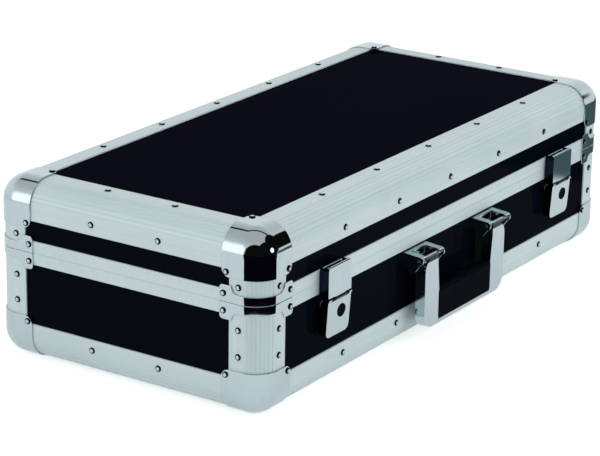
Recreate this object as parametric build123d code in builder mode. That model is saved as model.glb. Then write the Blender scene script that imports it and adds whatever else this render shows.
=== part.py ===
from build123d import *
from math import cos, radians, sin, sqrt
import os

# A storage case for discs in their boxes: black laminated panels held in round-edged
# aluminium extrusions, chromed ball corners, two key-locking draw latches and a drop handle.
# Millimetres. X runs along the length, the latches and the handle face -Y, Z is up, and the
# origin is under the middle of the whole object, on the surface that it stands on.

# Overall size, over the aluminium
case_length = 655.0
case_width = 310.0
base_height = 109.5
lid_height = 68.5

# Wall build-up
sheet = 1.5                  # wall of the aluminium extrusions
panel_thickness = 7.0
edge_leg = 37.0              # reach of an extrusion's leg over each face
edge_radius = 24.5           # outer rounding of the edges
groove_count = 7
groove_width = 0.9
groove_depth = 0.35
groove_margin = 16.0         # degrees between a flat leg and the first groove

# Closure strips along the rims, with a tongue that seats in a groove
closure_height = 11.8
closure_lap = 1.5            # how far the strip folds over the panel's inner face
rim_gap = 0.3                # parting line between base and lid
tongue_inset = 4.2           # outer face of the case to the tongue
tongue_width = 1.6
tongue_height = 3.0
tongue_play = 0.8
groove_head = 0.6            # air above the tongue

# Ball corners and corner braces
corner_thickness = 1.4
corner_reach = 44.6
corner_plate_radius = 8.5
corner_rivet_inset = 39.4
brace_thickness = 1.2
brace_play = 0.1             # bent strap to the post that it wraps
brace_reach = 46.7
brace_height = 16.4          # the ears with the rivets
brace_bend_height = 8.6      # round the corner, under the post's end
brace_window = 33.6          # corner to the ear's inner edge
brace_window_radius = 8.0
brace_ear_radius = 3.4
brace_rivet_inset = 42.4

# Rivets
rivet_diameter = 6.4
rivet_height = 1.5
rivet_taper = 32.0
under_rivet_height = 1.0     # flatter heads underneath, clear of the floor
flush_rivet_inset = 0.3
rivet_inset = 26.5           # rivet row to the outer corner of its edge
long_rivet_pitch = 96.2
long_rivet_count = 5
short_rivet_pitch = 77.5
short_rivet_count = 2
post_rivet_heights = (58.7, 84.5)
lid_post_rivet_drop = 52.4   # under the top of the lid

# Inside
lining_thickness = 2.0
lining_rim_gap = 0.4
lining_radius = 5.5          # outer rounding of the tray, clear of the ball corners
divider_thickness = 3.0
divider_height = 88.0
pad_thickness = 8.0
pad_play = 1.0
pad_radius = 10.0

# Back hinges
hinge_spacing = case_length - 265.0
hinge_length = 60.0
hinge_offset = 3.8           # back of the case to the pin's axis
hinge_knuckle_radius = 3.4
hinge_pin_radius = 1.6
hinge_pin_play = 0.05
hinge_leaf = 1.6
hinge_leaf_height = 26.0
knuckle_gap = 0.4
lid_opening = 105.0
stop_tab_length = 9.0
stop_tab_thickness = 2.0
stop_gap = 0.3

# Draw latches: the lever turns on the base, the hasp turns on the lever
latch_spacing = case_length - 221.0
latch_width = 38.8
latch_sheet = 1.4
lever_pivot_out = 3.8        # distances out from the front of the case
lever_pivot_drop = 11.5      # distances down from the parting line
link_out = 10.2
link_drop = 16.7
link_knuckle_radius = 2.0
link_pin_radius = 0.9
link_play = 0.05
latch_face_out = 11.2        # front of the hasp and of the lever's top
lever_foot_out = 8.6
lever_length = 37.9
lever_foot_radius = 6.0
lever_taper = 0.3            # how much narrower each side of the lever is at its foot
hasp_rise = 16.1             # top of the hasp above the parting line
hasp_roll_radius = 1.6
flange_out = 1.0             # back edge of the flanges
middle_knuckle = 18.0
pivot_pin_radius = 1.25
pivot_play = 0.05
ear_radius = 2.6
ear_thickness = 1.6
ear_gap = 0.4
tab_seat = 14.0              # how far down the lever its tabs are joined to it
strike_sheet = 1.2
strike_width = 33.0
strike_clearance = 0.3       # strike lip to the hasp's roll
latch_plate_length = 38.0

# Lock in the lever
lock_drop = 31.8
lock_shift = 4.5             # middle of the lever to the lock
lock_radius = 6.5
lock_rim = 0.8
lock_rim_height = 0.6
plug_radius = 4.6
plug_play = 0.05
lock_depth = 5.0
key_slot_length = 5.6
key_slot_width = 1.2
cam_length = 7.0

# Drop handle
handle_spacing = 131.4       # middle of one leg to the middle of the other
handle_leg_width = 24.0
handle_out = 20.8            # front of the legs
handle_depth = 11.0
handle_bottom = 17.0         # over the underside of the case
handle_corner_radius = 15.0
handle_strip = 4.0
handle_spread = 3.0          # how much wider each leg is beside the grip
handle_spread_top = 80.0
grip_top = 52.7
grip_proud = 0.8
grip_round = 3.6
grip_gap = 0.2
handle_pin_out = 18.4
handle_pin_height = 90.5
handle_pin_radius = 1.5
handle_pin_play = 0.05
handle_knuckle_radius = 2.3
bracket_width = 41.4
bracket_sheet = 1.6
bracket_top = 96.6
bracket_nose_radius = 4.2
bracket_cheek_low = 79.2
bracket_cheek_out = 13.0
bracket_opening_width = 26.0
bracket_opening_out = 4.5    # case front to the opening in the bracket's shelf

# Values that follow from the sizes above
case_height = base_height + lid_height
half_length = case_length / 2
half_width = case_width / 2
case_bottom = corner_thickness
case_top = case_bottom + case_height
parting = case_bottom + base_height
panel_inner = sheet + panel_thickness
closure_inner = panel_inner + closure_lap
panel_cut = edge_radius
stop_angle = lid_opening - 90
stop_tab_inner = hinge_offset - hinge_leaf - stop_gap
hinge_reach = (hinge_offset + stop_tab_length * cos(radians(stop_angle))
               + stop_tab_inner * sin(radians(stop_angle)))
front_reach = half_width + handle_out + grip_proud
back_reach = half_width + hinge_reach
case_y = (front_reach - back_reach) / 2
front_y = case_y - half_width
back_y = case_y + half_width
hinge_y = back_y + hinge_offset

os.makedirs("parts", exist_ok=True)


def save(part, name):
    """Label a finished piece and write it as its own node."""
    part.label = name
    export_step(part, f"parts/{name}.step")


def edge_plane(origin, inward_a, inward_b):
    """Plane across an edge of the case: both local axes run inwards from the sharp corner."""
    return Plane(origin=origin, x_dir=inward_a, z_dir=Vector(inward_a).cross(Vector(inward_b)))


def face_plane(side, across, height):
    """Plane on an outer face of the case, its normal outwards and its local y upwards or back."""
    if side == "front":
        return Plane(origin=(across, front_y, height), x_dir=(1, 0, 0), z_dir=(0, -1, 0))
    if side == "back":
        return Plane(origin=(across, back_y, height), x_dir=(-1, 0, 0), z_dir=(0, 1, 0))
    if side == "left":
        return Plane(origin=(-half_length, case_y + across, height), x_dir=(0, -1, 0), z_dir=(-1, 0, 0))
    if side == "right":
        return Plane(origin=(half_length, case_y + across, height), x_dir=(0, 1, 0), z_dir=(1, 0, 0))
    if side == "top":
        return Plane(origin=(across, case_y, case_top), x_dir=(1, 0, 0), z_dir=(0, 0, 1))
    return Plane(origin=(across, case_y, case_bottom), x_dir=(1, 0, 0), z_dir=(0, 0, -1))


def side_plane(across):
    """Plane across the front fittings: local x runs out from the case's front, local y up."""
    return Plane(origin=(across, front_y, case_bottom), x_dir=(0, -1, 0), z_dir=(-1, 0, 0))


def back_plane(across):
    """Plane across the hinges: local x runs out from the pin's axis, local y up from it."""
    return Plane(origin=(across, hinge_y, parting), x_dir=(0, 1, 0), z_dir=(1, 0, 0))


def edge_section():
    """Section of the round-edged extrusion, with its two chambers and its outer grooves."""
    inner_arc = edge_radius - sheet
    web = panel_inner - sheet
    rib = edge_radius - sheet
    foot = edge_radius - sqrt(inner_arc ** 2 - (edge_radius - web) ** 2)
    crest = edge_radius - sqrt(inner_arc ** 2 - sheet ** 2)
    bulge = edge_radius - inner_arc * cos(radians(26))
    lean = edge_radius - inner_arc * sin(radians(26))
    with BuildSketch() as section:
        with BuildLine():
            Polyline((0, edge_radius), (0, edge_leg), (sheet, edge_leg), (sheet, edge_radius),
                     (panel_inner, edge_radius), (panel_inner, panel_inner), (edge_radius, panel_inner),
                     (edge_radius, sheet), (edge_leg, sheet), (edge_leg, 0), (edge_radius, 0))
            RadiusArc((edge_radius, 0), (0, edge_radius), edge_radius)
        make_face()
        with BuildLine():
            Polyline((rib, crest), (rib, web), (foot, web))
            ThreePointArc((foot, web), (lean, bulge), (rib, crest))
        make_face(mode=Mode.SUBTRACT)
        with BuildLine():
            Polyline((crest, rib), (web, rib), (web, foot))
            ThreePointArc((web, foot), (bulge, lean), (crest, rib))
        make_face(mode=Mode.SUBTRACT)
        with Locations((edge_radius, edge_radius)):
            with PolarLocations(edge_radius, groove_count, 180 + groove_margin, 90 - 2 * groove_margin,
                                endpoint=True):
                Rectangle(2 * groove_depth, groove_width, mode=Mode.SUBTRACT)
    return section.sketch


edge_profile = edge_section()


def long_edge(side, level):
    """Extrusion along a long edge; side is -1 at the front, level is -1 at the bottom."""
    height = case_top if level > 0 else case_bottom
    with BuildPart() as extrusion:
        middle = (0, case_y + side * half_width, height)
        with BuildSketch(edge_plane(middle, (0, -side, 0), (0, 0, -level))):
            add(edge_profile)
        extrude(amount=half_length - edge_radius, both=True)
    return extrusion.part


def short_edge(side, level):
    """Extrusion along a short edge, cut to butt against the legs of the long ones."""
    height = case_top if level > 0 else case_bottom
    with BuildPart() as extrusion:
        with BuildSketch(edge_plane((side * half_length, case_y, height), (-side, 0, 0), (0, 0, -level))):
            add(edge_profile)
        extrude(amount=half_width - edge_leg, both=True)
    return extrusion.part


def corner_posts(outer_end, closure_end, rim):
    """The four upright extrusions; their legs stop at the closure strip, their round runs on."""
    low, high = sorted((outer_end, closure_end))
    neck_low, neck_high = sorted((closure_end, rim))
    with BuildPart() as posts:
        for side_x in (-1, 1):
            for side_y in (-1, 1):
                for bottom, top, whole in ((low, high, True), (neck_low, neck_high, False)):
                    middle = (bottom + top) / 2
                    corner = (side_x * half_length, case_y + side_y * half_width, middle)
                    with BuildSketch(edge_plane(corner, (-side_x, 0, 0), (0, -side_y, 0))):
                        add(edge_profile)
                        if not whole:
                            Rectangle(edge_radius, edge_radius, align=(Align.MIN, Align.MIN),
                                      mode=Mode.INTERSECT)
                    extrude(amount=(top - bottom) / 2, both=True)
    return posts.part


def wall_panel(side, low, high):
    """Upright panel behind the legs of the extrusions."""
    reach = half_length if side in ("front", "back") else half_width
    with BuildPart() as panel:
        with BuildSketch(face_plane(side, 0, (low + high) / 2).offset(-sheet)):
            Rectangle(2 * (reach - panel_cut), high - low)
        extrude(amount=-panel_thickness)
    return panel.part


def flat_panel(side):
    """Top or bottom panel."""
    with BuildPart() as panel:
        with BuildSketch(face_plane(side, 0, 0).offset(-sheet)):
            Rectangle(2 * (half_length - panel_cut), 2 * (half_width - panel_cut))
        extrude(amount=-panel_thickness)
    return panel.part


def closure_strips(points, posts):
    """Four strips of one section round a rim, cut back where the posts' legs pass them.

    Local x of the section runs into the case, local y up.
    """
    with BuildPart() as strips:
        for side in (-1, 1):
            front = Plane(origin=(0, case_y + side * half_width, parting), x_dir=(0, -side, 0),
                          z_dir=(-side, 0, 0))
            with BuildSketch(front):
                with BuildLine():
                    Polyline(*points, close=True)
                make_face()
            extrude(amount=half_length - edge_radius, both=True)
            end = Plane(origin=(side * half_length, case_y, parting), x_dir=(-side, 0, 0),
                        z_dir=(0, side, 0))
            with BuildSketch(end):
                with BuildLine():
                    Polyline(*points, close=True)
                make_face()
            extrude(amount=half_width - edge_radius, both=True)
        add(posts, mode=Mode.SUBTRACT)
    return strips.part


def corner_braces(level):
    """Chromed straps bent round the four corners along a rim, their ends taller than their bend.

    The level is -1 along the base's rim and 1 along the lid's. The step between bend and end
    follows the post's rounded end.
    """
    outside = -brace_play - brace_thickness
    rim = parting + level * rim_gap / 2
    slack = 1 - sqrt(0.5)
    ear, window, bend = brace_ear_radius, brace_window, brace_bend_height
    hollow = brace_window_radius
    with BuildPart() as braces:
        for side_x in (-1, 1):
            for side_y in (-1, 1):
                corner = Vector(side_x * half_length, case_y + side_y * half_width, rim)
                inward_x = Vector(-side_x, 0, 0)
                inward_y = Vector(0, -side_y, 0)
                middle = corner + Vector(0, 0, level * bend / 2)
                with BuildSketch(edge_plane(middle, inward_x, inward_y)):
                    with BuildLine():
                        Line((-brace_play, edge_radius), (outside, edge_radius))
                        RadiusArc((outside, edge_radius), (edge_radius, outside), -edge_radius + outside)
                        Line((edge_radius, outside), (edge_radius, -brace_play))
                        RadiusArc((edge_radius, -brace_play), (-brace_play, edge_radius),
                                  edge_radius + brace_play)
                    make_face()
                extrude(amount=bend / 2, both=True)
                for along, across in ((inward_x, inward_y), (inward_y, inward_x)):
                    facing = along.cross(Vector(0, 0, level))
                    outward = -1 if facing.dot(across) > 0 else 1
                    wall = Plane(origin=corner - across * brace_play, x_dir=along, z_dir=facing)
                    with BuildSketch(wall):
                        with BuildLine():
                            Polyline((window - hollow, bend), (edge_radius, bend), (edge_radius, 0),
                                     (brace_reach, 0), (brace_reach, brace_height - ear))
                            ThreePointArc((brace_reach, brace_height - ear),
                                          (brace_reach - ear * slack, brace_height - ear * slack),
                                          (brace_reach - ear, brace_height))
                            end = brace_height - bend
                            if end > hollow:
                                Polyline((brace_reach - ear, brace_height), (window, brace_height),
                                         (window, bend + hollow))
                            else:
                                Line((brace_reach - ear, brace_height), (window, bend + hollow))
                            ThreePointArc((window, bend + hollow),
                                          (window - hollow * slack, bend + hollow * slack),
                                          (window - hollow, bend))
                        make_face()
                    extrude(amount=outward * brace_thickness)
    return braces.part


def ball_corner(side_x, side_y, level):
    """Formed sheet corner: three plates with rounded tips that run into a spherical nose."""
    height = case_top if level > 0 else case_bottom
    tip = Vector(side_x * half_length, case_y + side_y * half_width, height)
    outward = Vector(side_x, side_y, level)
    turned = side_x * side_y * level > 0
    first = (0, -side_y, 0) if turned else (-side_x, 0, 0)
    seat = Plane(origin=tip, x_dir=first, z_dir=(0, 0, -level))
    nose = Plane(origin=tip + outward * corner_thickness, x_dir=first, z_dir=(0, 0, -level))
    with BuildPart(seat) as core:
        Box(corner_reach * 2, corner_reach * 2, corner_reach * 2, align=(Align.MIN, Align.MIN, Align.MIN))
        fillet(core.edges().sort_by_distance(tip)[:3], radius=edge_radius)
    with BuildPart(nose) as block:
        size = corner_reach + corner_thickness
        Box(size, size, size, align=(Align.MIN, Align.MIN, Align.MIN))
        fillet(block.edges().sort_by_distance(tip - outward * corner_reach)[:3], radius=corner_plate_radius)
        fillet(block.edges().sort_by_distance(tip + outward * corner_thickness)[:3],
               radius=edge_radius + corner_thickness)
    with BuildPart() as corner:
        add(block.part)
        add(core.part, mode=Mode.SUBTRACT)
        if level < 0:
            with BuildSketch(face_plane("bottom", 0, 0)):
                with Locations((side_x * (half_length - corner_rivet_inset),
                                -side_y * (half_width - corner_rivet_inset))):
                    Circle(rivet_diameter / 2)
            extrude(amount=2 * corner_thickness, both=True, mode=Mode.SUBTRACT)
    return corner.part


def rivet_row(count, pitch):
    """Places of evenly spaced rivets about the middle of a side."""
    return [(index - (count - 1) / 2) * pitch for index in range(count)]


def edge_rivets(side, height):
    """Rivet places along an extrusion's leg on a wall."""
    if side in ("front", "back"):
        return [(across, height) for across in rivet_row(long_rivet_count, long_rivet_pitch)]
    return [(across, height) for across in rivet_row(short_rivet_count, short_rivet_pitch)]


def flat_rivets():
    """Rivet places round the top or the bottom of the case."""
    long_row = rivet_row(long_rivet_count, long_rivet_pitch)
    short_row = rivet_row(short_rivet_count, short_rivet_pitch)
    places = [(across, side * (half_width - rivet_inset)) for across in long_row for side in (-1, 1)]
    places += [(side * (half_length - rivet_inset), along) for along in short_row for side in (-1, 1)]
    return places


def rivet_heads(groups):
    """Rivet heads as many-sided pans; each group is a plane, its places and a head height."""
    with BuildPart() as rivets:
        for plane, places, head in groups:
            with BuildSketch(plane):
                with Locations(*places):
                    RegularPolygon(rivet_diameter / 2, 8)
            extrude(amount=head, taper=rivet_taper)
    return rivets.part


def corner_places(inset_x, inset_y, reach_x, reach_y):
    """The four mirrored places at given distances from the corners of a face."""
    return [(x * (reach_x - inset_x), y * (reach_y - inset_y)) for x in (-1, 1) for y in (-1, 1)]


def wall_ends(side, inset):
    """Two places at a distance from both ends of a wall."""
    reach = half_length if side in ("front", "back") else half_width
    return (-(reach - inset), reach - inset)


walls = ("front", "back", "left", "right")
closure_low = parting - closure_height
closure_high = parting + closure_height
rim_low = parting - rim_gap / 2
rim_high = parting + rim_gap / 2

# Base: edges, posts and panels
save(long_edge(-1, -1), "base_edge_front")
save(long_edge(1, -1), "base_edge_back")
save(short_edge(-1, -1), "base_edge_left")
save(short_edge(1, -1), "base_edge_right")
leg_end = rim_gap / 2 + sheet     # parting line to the ends of the posts' legs
base_posts = corner_posts(case_bottom + edge_leg, parting - leg_end, rim_low)
save(base_posts, "base_corner_posts")
save(flat_panel("bottom"), "bottom_panel")
for wall in walls:
    save(wall_panel(wall, case_bottom + panel_cut, rim_low - sheet), f"base_panel_{wall}")

# Base: closure strips with the tongue, and the straps round their corners
tongue_end = tongue_inset + tongue_width
half_gap = rim_gap / 2
save(closure_strips([(0, -closure_height), (0, -half_gap), (tongue_inset, -half_gap),
                     (tongue_inset, tongue_height), (tongue_end, tongue_height), (tongue_end, -half_gap),
                     (closure_inner, -half_gap), (closure_inner, -closure_height),
                     (panel_inner, -closure_height), (panel_inner, -half_gap - sheet),
                     (sheet, -half_gap - sheet), (sheet, -closure_height)], base_posts),
     "base_closure_strips")
save(corner_braces(-1), "base_corner_braces")

# Lid: edges, posts and panels
groove_top = tongue_height + groove_head
lid_panel_low = parting + groove_top + sheet
save(long_edge(-1, 1), "lid_edge_front")
save(long_edge(1, 1), "lid_edge_back")
save(short_edge(-1, 1), "lid_edge_left")
save(short_edge(1, 1), "lid_edge_right")
lid_posts = corner_posts(case_top - edge_leg, parting + leg_end, rim_high)
save(lid_posts, "lid_corner_posts")
save(flat_panel("top"), "lid_panel_top")
for wall in walls:
    save(wall_panel(wall, lid_panel_low, case_top - panel_cut), f"lid_panel_{wall}")

# Lid: closure strips with the groove that takes the tongue
groove_start = tongue_inset - tongue_play
groove_stop = tongue_end + tongue_play
save(closure_strips([(0, closure_height), (0, half_gap), (groove_start, half_gap),
                     (groove_start, groove_top), (groove_stop, groove_top), (groove_stop, half_gap),
                     (closure_inner, half_gap), (closure_inner, closure_height),
                     (panel_inner, closure_height), (panel_inner, groove_top + sheet),
                     (sheet, groove_top + sheet), (sheet, closure_height)], lid_posts),
     "lid_closure_strips")
save(corner_braces(1), "lid_corner_braces")

# Ball corners
for side_x, end_name in ((-1, "left"), (1, "right")):
    for side_y, face_name in ((-1, "front"), (1, "back")):
        save(ball_corner(side_x, side_y, -1), f"base_ball_corner_{face_name}_{end_name}")
        save(ball_corner(side_x, side_y, 1), f"lid_ball_corner_{face_name}_{end_name}")

# Rivets of the base
base_groups = [(face_plane("bottom", 0, 0), flat_rivets(), under_rivet_height),
               (face_plane("bottom", 0, 0),
                corner_places(corner_rivet_inset, corner_rivet_inset, half_length, half_width),
                corner_thickness - flush_rivet_inset)]
for wall in walls:
    ends = wall_ends(wall, rivet_inset)
    places = edge_rivets(wall, case_bottom + rivet_inset)
    places += [(across, case_bottom + height) for across in ends for height in post_rivet_heights]
    base_groups.append((face_plane(wall, 0, 0), places, rivet_height))
    corner_level = case_bottom + corner_rivet_inset
    base_groups.append((face_plane(wall, 0, 0).offset(corner_thickness),
                        [(across, corner_level) for across in wall_ends(wall, corner_rivet_inset)],
                        rivet_height))
    brace_level = rim_low - brace_height / 2
    base_groups.append((face_plane(wall, 0, 0).offset(brace_play + brace_thickness),
                        [(across, brace_level) for across in wall_ends(wall, brace_rivet_inset)],
                        rivet_height))
save(rivet_heads(base_groups), "base_rivets")

# Rivets of the lid
lid_groups = [(face_plane("top", 0, 0), flat_rivets(), rivet_height),
              (face_plane("top", 0, 0).offset(corner_thickness),
               corner_places(corner_rivet_inset, corner_rivet_inset, half_length, half_width),
               rivet_height)]
for wall in walls:
    places = edge_rivets(wall, case_top - rivet_inset)
    places += [(across, case_top - lid_post_rivet_drop) for across in wall_ends(wall, rivet_inset)]
    lid_groups.append((face_plane(wall, 0, 0), places, rivet_height))
    corner_level = case_top - corner_rivet_inset
    lid_groups.append((face_plane(wall, 0, 0).offset(corner_thickness),
                       [(across, corner_level) for across in wall_ends(wall, corner_rivet_inset)],
                       rivet_height))
    brace_level = rim_high + brace_height / 2
    lid_groups.append((face_plane(wall, 0, 0).offset(brace_play + brace_thickness),
                       [(across, brace_level) for across in wall_ends(wall, brace_rivet_inset)],
                       rivet_height))
save(rivet_heads(lid_groups), "lid_rivets")

# Lining tray of the base
lining_top = closure_low - lining_rim_gap
lining_low = case_bottom + panel_inner


def tray_block(inset, radius):
    """Block with rounded uprights and bottom edges, as the tray is outside or inside."""
    with BuildPart() as block:
        with BuildSketch(Plane(origin=(0, case_y, lining_low + inset))):
            Rectangle(2 * (half_length - panel_inner - inset), 2 * (half_width - panel_inner - inset))
        extrude(amount=lining_top - lining_low)
        fillet(block.edges().filter_by(Axis.Z) + block.edges().group_by(Axis.Z)[0], radius=radius)
    return block.part


with BuildPart() as base_lining:
    add(tray_block(0, lining_radius))
    add(tray_block(lining_thickness, lining_radius - lining_thickness), mode=Mode.SUBTRACT)
save(base_lining.part, "base_lining")

# Board between the two rows
divider_half = half_length - panel_inner - lining_thickness
divider_low = lining_low + lining_thickness
with BuildPart() as row_divider:
    with BuildSketch(Plane(origin=(0, case_y, divider_low), x_dir=(1, 0, 0), z_dir=(0, -1, 0))):
        board = Rectangle(2 * divider_half, divider_height, align=(Align.CENTER, Align.MIN))
        fillet(board.vertices().group_by(Axis.Z)[0], lining_radius)
    extrude(amount=divider_thickness / 2, both=True)
save(row_divider.part, "row_divider")

# Foam pad inside the lid
pad_top = case_top - panel_inner
with BuildPart() as lid_pad:
    with BuildSketch(Plane(origin=(0, case_y, pad_top))):
        RectangleRounded(2 * (half_length - panel_inner - pad_play),
                         2 * (half_width - panel_inner - pad_play), pad_radius)
    extrude(amount=-pad_thickness)
save(lid_pad.part, "lid_pad")


def hinge_leaf_outline(direction):
    """Side view of a joggled leaf, local x out from the pin's axis; direction is 1 for the lid."""
    outer = -hinge_offset + hinge_leaf
    inner = -hinge_offset
    step = closure_height * direction
    end = hinge_leaf_height * direction
    return [(inner, 0), (outer, 0), (outer, step), (outer - sheet, step + sheet * direction),
            (outer - sheet, end), (inner - sheet, end), (inner - sheet, step), (inner, step)]


def hinge_leaves(direction):
    """Two leaves with their knuckles; the lid's middle knuckle carries the stop tab."""
    third = hinge_length / 3
    with BuildPart() as leaves:
        for middle in (-hinge_spacing / 2, hinge_spacing / 2):
            with BuildSketch(back_plane(middle)):
                with BuildLine():
                    Polyline(*hinge_leaf_outline(direction), close=True)
                make_face()
            extrude(amount=hinge_length / 2, both=True)
            own = (0,) if direction > 0 else (-third, third)
            other = (-third, third) if direction > 0 else (0,)
            for shift in other:
                with BuildSketch(back_plane(middle + shift)):
                    Circle(hinge_knuckle_radius + knuckle_gap)
                extrude(amount=third / 2 + knuckle_gap / 2, both=True, mode=Mode.SUBTRACT)
            for shift in own:
                with BuildSketch(back_plane(middle + shift)):
                    Circle(hinge_knuckle_radius)
                extrude(amount=third / 2 - knuckle_gap / 2, both=True)
            if direction > 0:
                tab = Plane(origin=(middle, hinge_y, parting), z_dir=(1, 0, 0),
                            x_dir=(0, cos(radians(stop_angle)), sin(radians(stop_angle))))
                with BuildSketch(tab):
                    with Locations((0, -stop_tab_inner)):
                        Rectangle(stop_tab_length, stop_tab_thickness, align=(Align.MIN, Align.MIN))
                extrude(amount=third / 2 - knuckle_gap / 2, both=True)
            bore = hinge_pin_radius + (hinge_pin_play if direction > 0 else 0)
            with BuildSketch(back_plane(middle)):
                Circle(bore)
            extrude(amount=hinge_length / 2, both=True, mode=Mode.SUBTRACT)
    return leaves.part


save(hinge_leaves(-1), "hinge_leaves_base")
save(hinge_leaves(1), "hinge_leaves_lid")
with BuildPart() as hinge_pins:
    for middle in (-hinge_spacing / 2, hinge_spacing / 2):
        with BuildSketch(back_plane(middle)):
            Circle(hinge_pin_radius)
        extrude(amount=hinge_length / 2, both=True)
save(hinge_pins.part, "hinge_pins")

# Latches, in the side view: x out from the front of the case, y up from its underside
pivot = (lever_pivot_out, base_height - lever_pivot_drop)
link = (link_out, base_height - link_drop)
plate_inner = latch_face_out - latch_sheet
lever_top = link[1]
lever_foot = lever_top - lever_length
lean = latch_face_out - lever_foot_out
lean_length = sqrt(lean ** 2 + lever_length ** 2)
tab_outer = latch_width / 2 - latch_sheet - ear_gap
ear_outer = tab_outer - ear_thickness - ear_gap
half_latch = latch_width / 2


def latch_base(middle):
    """Plate on the base with two ears that carry the lever's pin."""
    plate_top = base_height - closure_height - ear_gap
    with BuildPart() as plate:
        with BuildSketch(side_plane(middle)):
            with Locations((-sheet, plate_top)):
                Rectangle(latch_sheet, latch_plate_length, align=(Align.MIN, Align.MAX))
        extrude(amount=ear_outer, both=True)
        for side in (-1, 1):
            ear = middle + side * (ear_outer - ear_thickness / 2)
            with BuildSketch(side_plane(ear)):
                with BuildLine():
                    Polyline((-sheet, plate_top), (ear_gap, plate_top),
                             (pivot[0] - ear_radius, pivot[1]), (pivot[0] + ear_radius, pivot[1]),
                             (ear_radius / 2, plate_top - 3 * ear_radius),
                             (-sheet, plate_top - 4 * ear_radius),
                             close=True)
                make_face()
                with Locations(pivot):
                    Circle(ear_radius)
                    Circle(pivot_pin_radius, mode=Mode.SUBTRACT)
            extrude(amount=ear_thickness / 2, both=True)
    return plate.part


def lever(middle):
    """Channel-shaped lever with two tabs on the base's pin and two knuckles on the link pin."""
    slope_inner = [(plate_inner, lever_top), (plate_inner - lean, lever_foot)]
    face = Plane(origin=(middle, front_y, case_bottom), x_dir=(1, 0, 0), z_dir=(0, -1, 0))
    with BuildPart() as body:
        with BuildSketch(side_plane(middle)):
            with BuildLine():
                Polyline((latch_face_out, lever_top), (lever_foot_out, lever_foot),
                         (flange_out, lever_foot), (flange_out, lever_top - 4 * link_knuckle_radius),
                         (link[0] - link_knuckle_radius, lever_top - 2 * link_knuckle_radius),
                         (plate_inner, lever_top), close=True)
            make_face()
        extrude(amount=half_latch, both=True)
        with BuildSketch(side_plane(middle)):
            with BuildLine():
                Polyline(*slope_inner, (flange_out - latch_sheet, lever_foot - latch_sheet),
                         (flange_out - latch_sheet, lever_top), close=True)
            make_face()
        extrude(amount=half_latch - latch_sheet, both=True, mode=Mode.SUBTRACT)
        with BuildSketch(face):
            with BuildLine():
                Polyline((-half_latch, lever_top + lever_length), (-half_latch, lever_top),
                         (-half_latch + lever_taper, lever_foot), (half_latch - lever_taper, lever_foot),
                         (half_latch, lever_top), (half_latch, lever_top + lever_length), close=True)
            foot = make_face()
            fillet(foot.vertices().group_by(Axis.Z)[0], lever_foot_radius)
        extrude(amount=2 * latch_face_out, both=True, mode=Mode.INTERSECT)
        for side in (-1, 1):
            knuckle = middle + side * (half_latch + middle_knuckle / 2 + ear_gap) / 2
            with BuildSketch(side_plane(knuckle)):
                with Locations(link):
                    Circle(link_knuckle_radius)
            extrude(amount=(half_latch - middle_knuckle / 2 - ear_gap) / 2, both=True)
            tab = middle + side * (tab_outer - ear_thickness / 2)
            with BuildSketch(side_plane(tab)):
                with BuildLine():
                    Polyline((pivot[0] - ear_radius, pivot[1]), (pivot[0] + ear_radius, pivot[1]), link,
                             (plate_inner + latch_sheet / 2 - lean * tab_seat / lever_length,
                              lever_top - tab_seat), close=True)
                make_face()
                with Locations(pivot):
                    Circle(ear_radius)
            extrude(amount=ear_thickness / 2, both=True)
        with BuildSketch(side_plane(middle)):
            with Locations(link):
                Circle(link_knuckle_radius + ear_gap)
        extrude(amount=middle_knuckle / 2 + ear_gap, both=True, mode=Mode.SUBTRACT)
        with BuildSketch(side_plane(middle)):
            with Locations(link):
                Circle(link_pin_radius)
            with Locations(pivot):
                Circle(pivot_pin_radius + pivot_play)
        extrude(amount=half_latch, both=True, mode=Mode.SUBTRACT)
        with BuildSketch(lock_plane(middle)):
            Circle(lock_radius - lock_rim)
        extrude(amount=2 * latch_sheet, both=True, mode=Mode.SUBTRACT)
    return body.part


def lock_plane(middle):
    """Plane on the lever's sloping front at the lock, its normal outwards."""
    drop = lock_drop - link_drop
    out = latch_face_out - lean * drop / lever_length
    return Plane(origin=(middle + lock_shift, front_y - out, case_bottom + lever_top - drop),
                 x_dir=(1, 0, 0), z_dir=(0, -lever_length / lean_length, -lean / lean_length))


def lock_barrel(middle):
    """Rimmed barrel held in the lever, with the bore of its plug."""
    with BuildPart() as barrel:
        with BuildSketch(lock_plane(middle)):
            Circle(lock_radius)
        extrude(amount=lock_rim_height)
        with BuildSketch(lock_plane(middle)):
            Circle(lock_radius - lock_rim)
        extrude(amount=-lock_depth)
        with BuildSketch(lock_plane(middle)):
            Circle(plug_radius + plug_play)
        extrude(amount=2 * lock_depth, both=True, mode=Mode.SUBTRACT)
    return barrel.part


def key_plug(middle):
    """Turning plug with its key slot in front and its cam behind."""
    with BuildPart() as plug:
        with BuildSketch(lock_plane(middle)):
            Circle(plug_radius)
        extrude(amount=-lock_depth)
        with BuildSketch(lock_plane(middle)):
            Rectangle(key_slot_width, key_slot_length)
        extrude(amount=-lock_depth * 0.6, mode=Mode.SUBTRACT)
        with BuildSketch(lock_plane(middle).offset(-lock_depth - ear_gap)):
            SlotCenterPoint((0, 0), (0, -cam_length / 2), plug_radius)
        extrude(amount=-latch_sheet)
        with BuildSketch(lock_plane(middle).offset(-lock_depth)):
            Circle(plug_radius / 2)
        extrude(amount=-ear_gap)
    return plug.part


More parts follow.
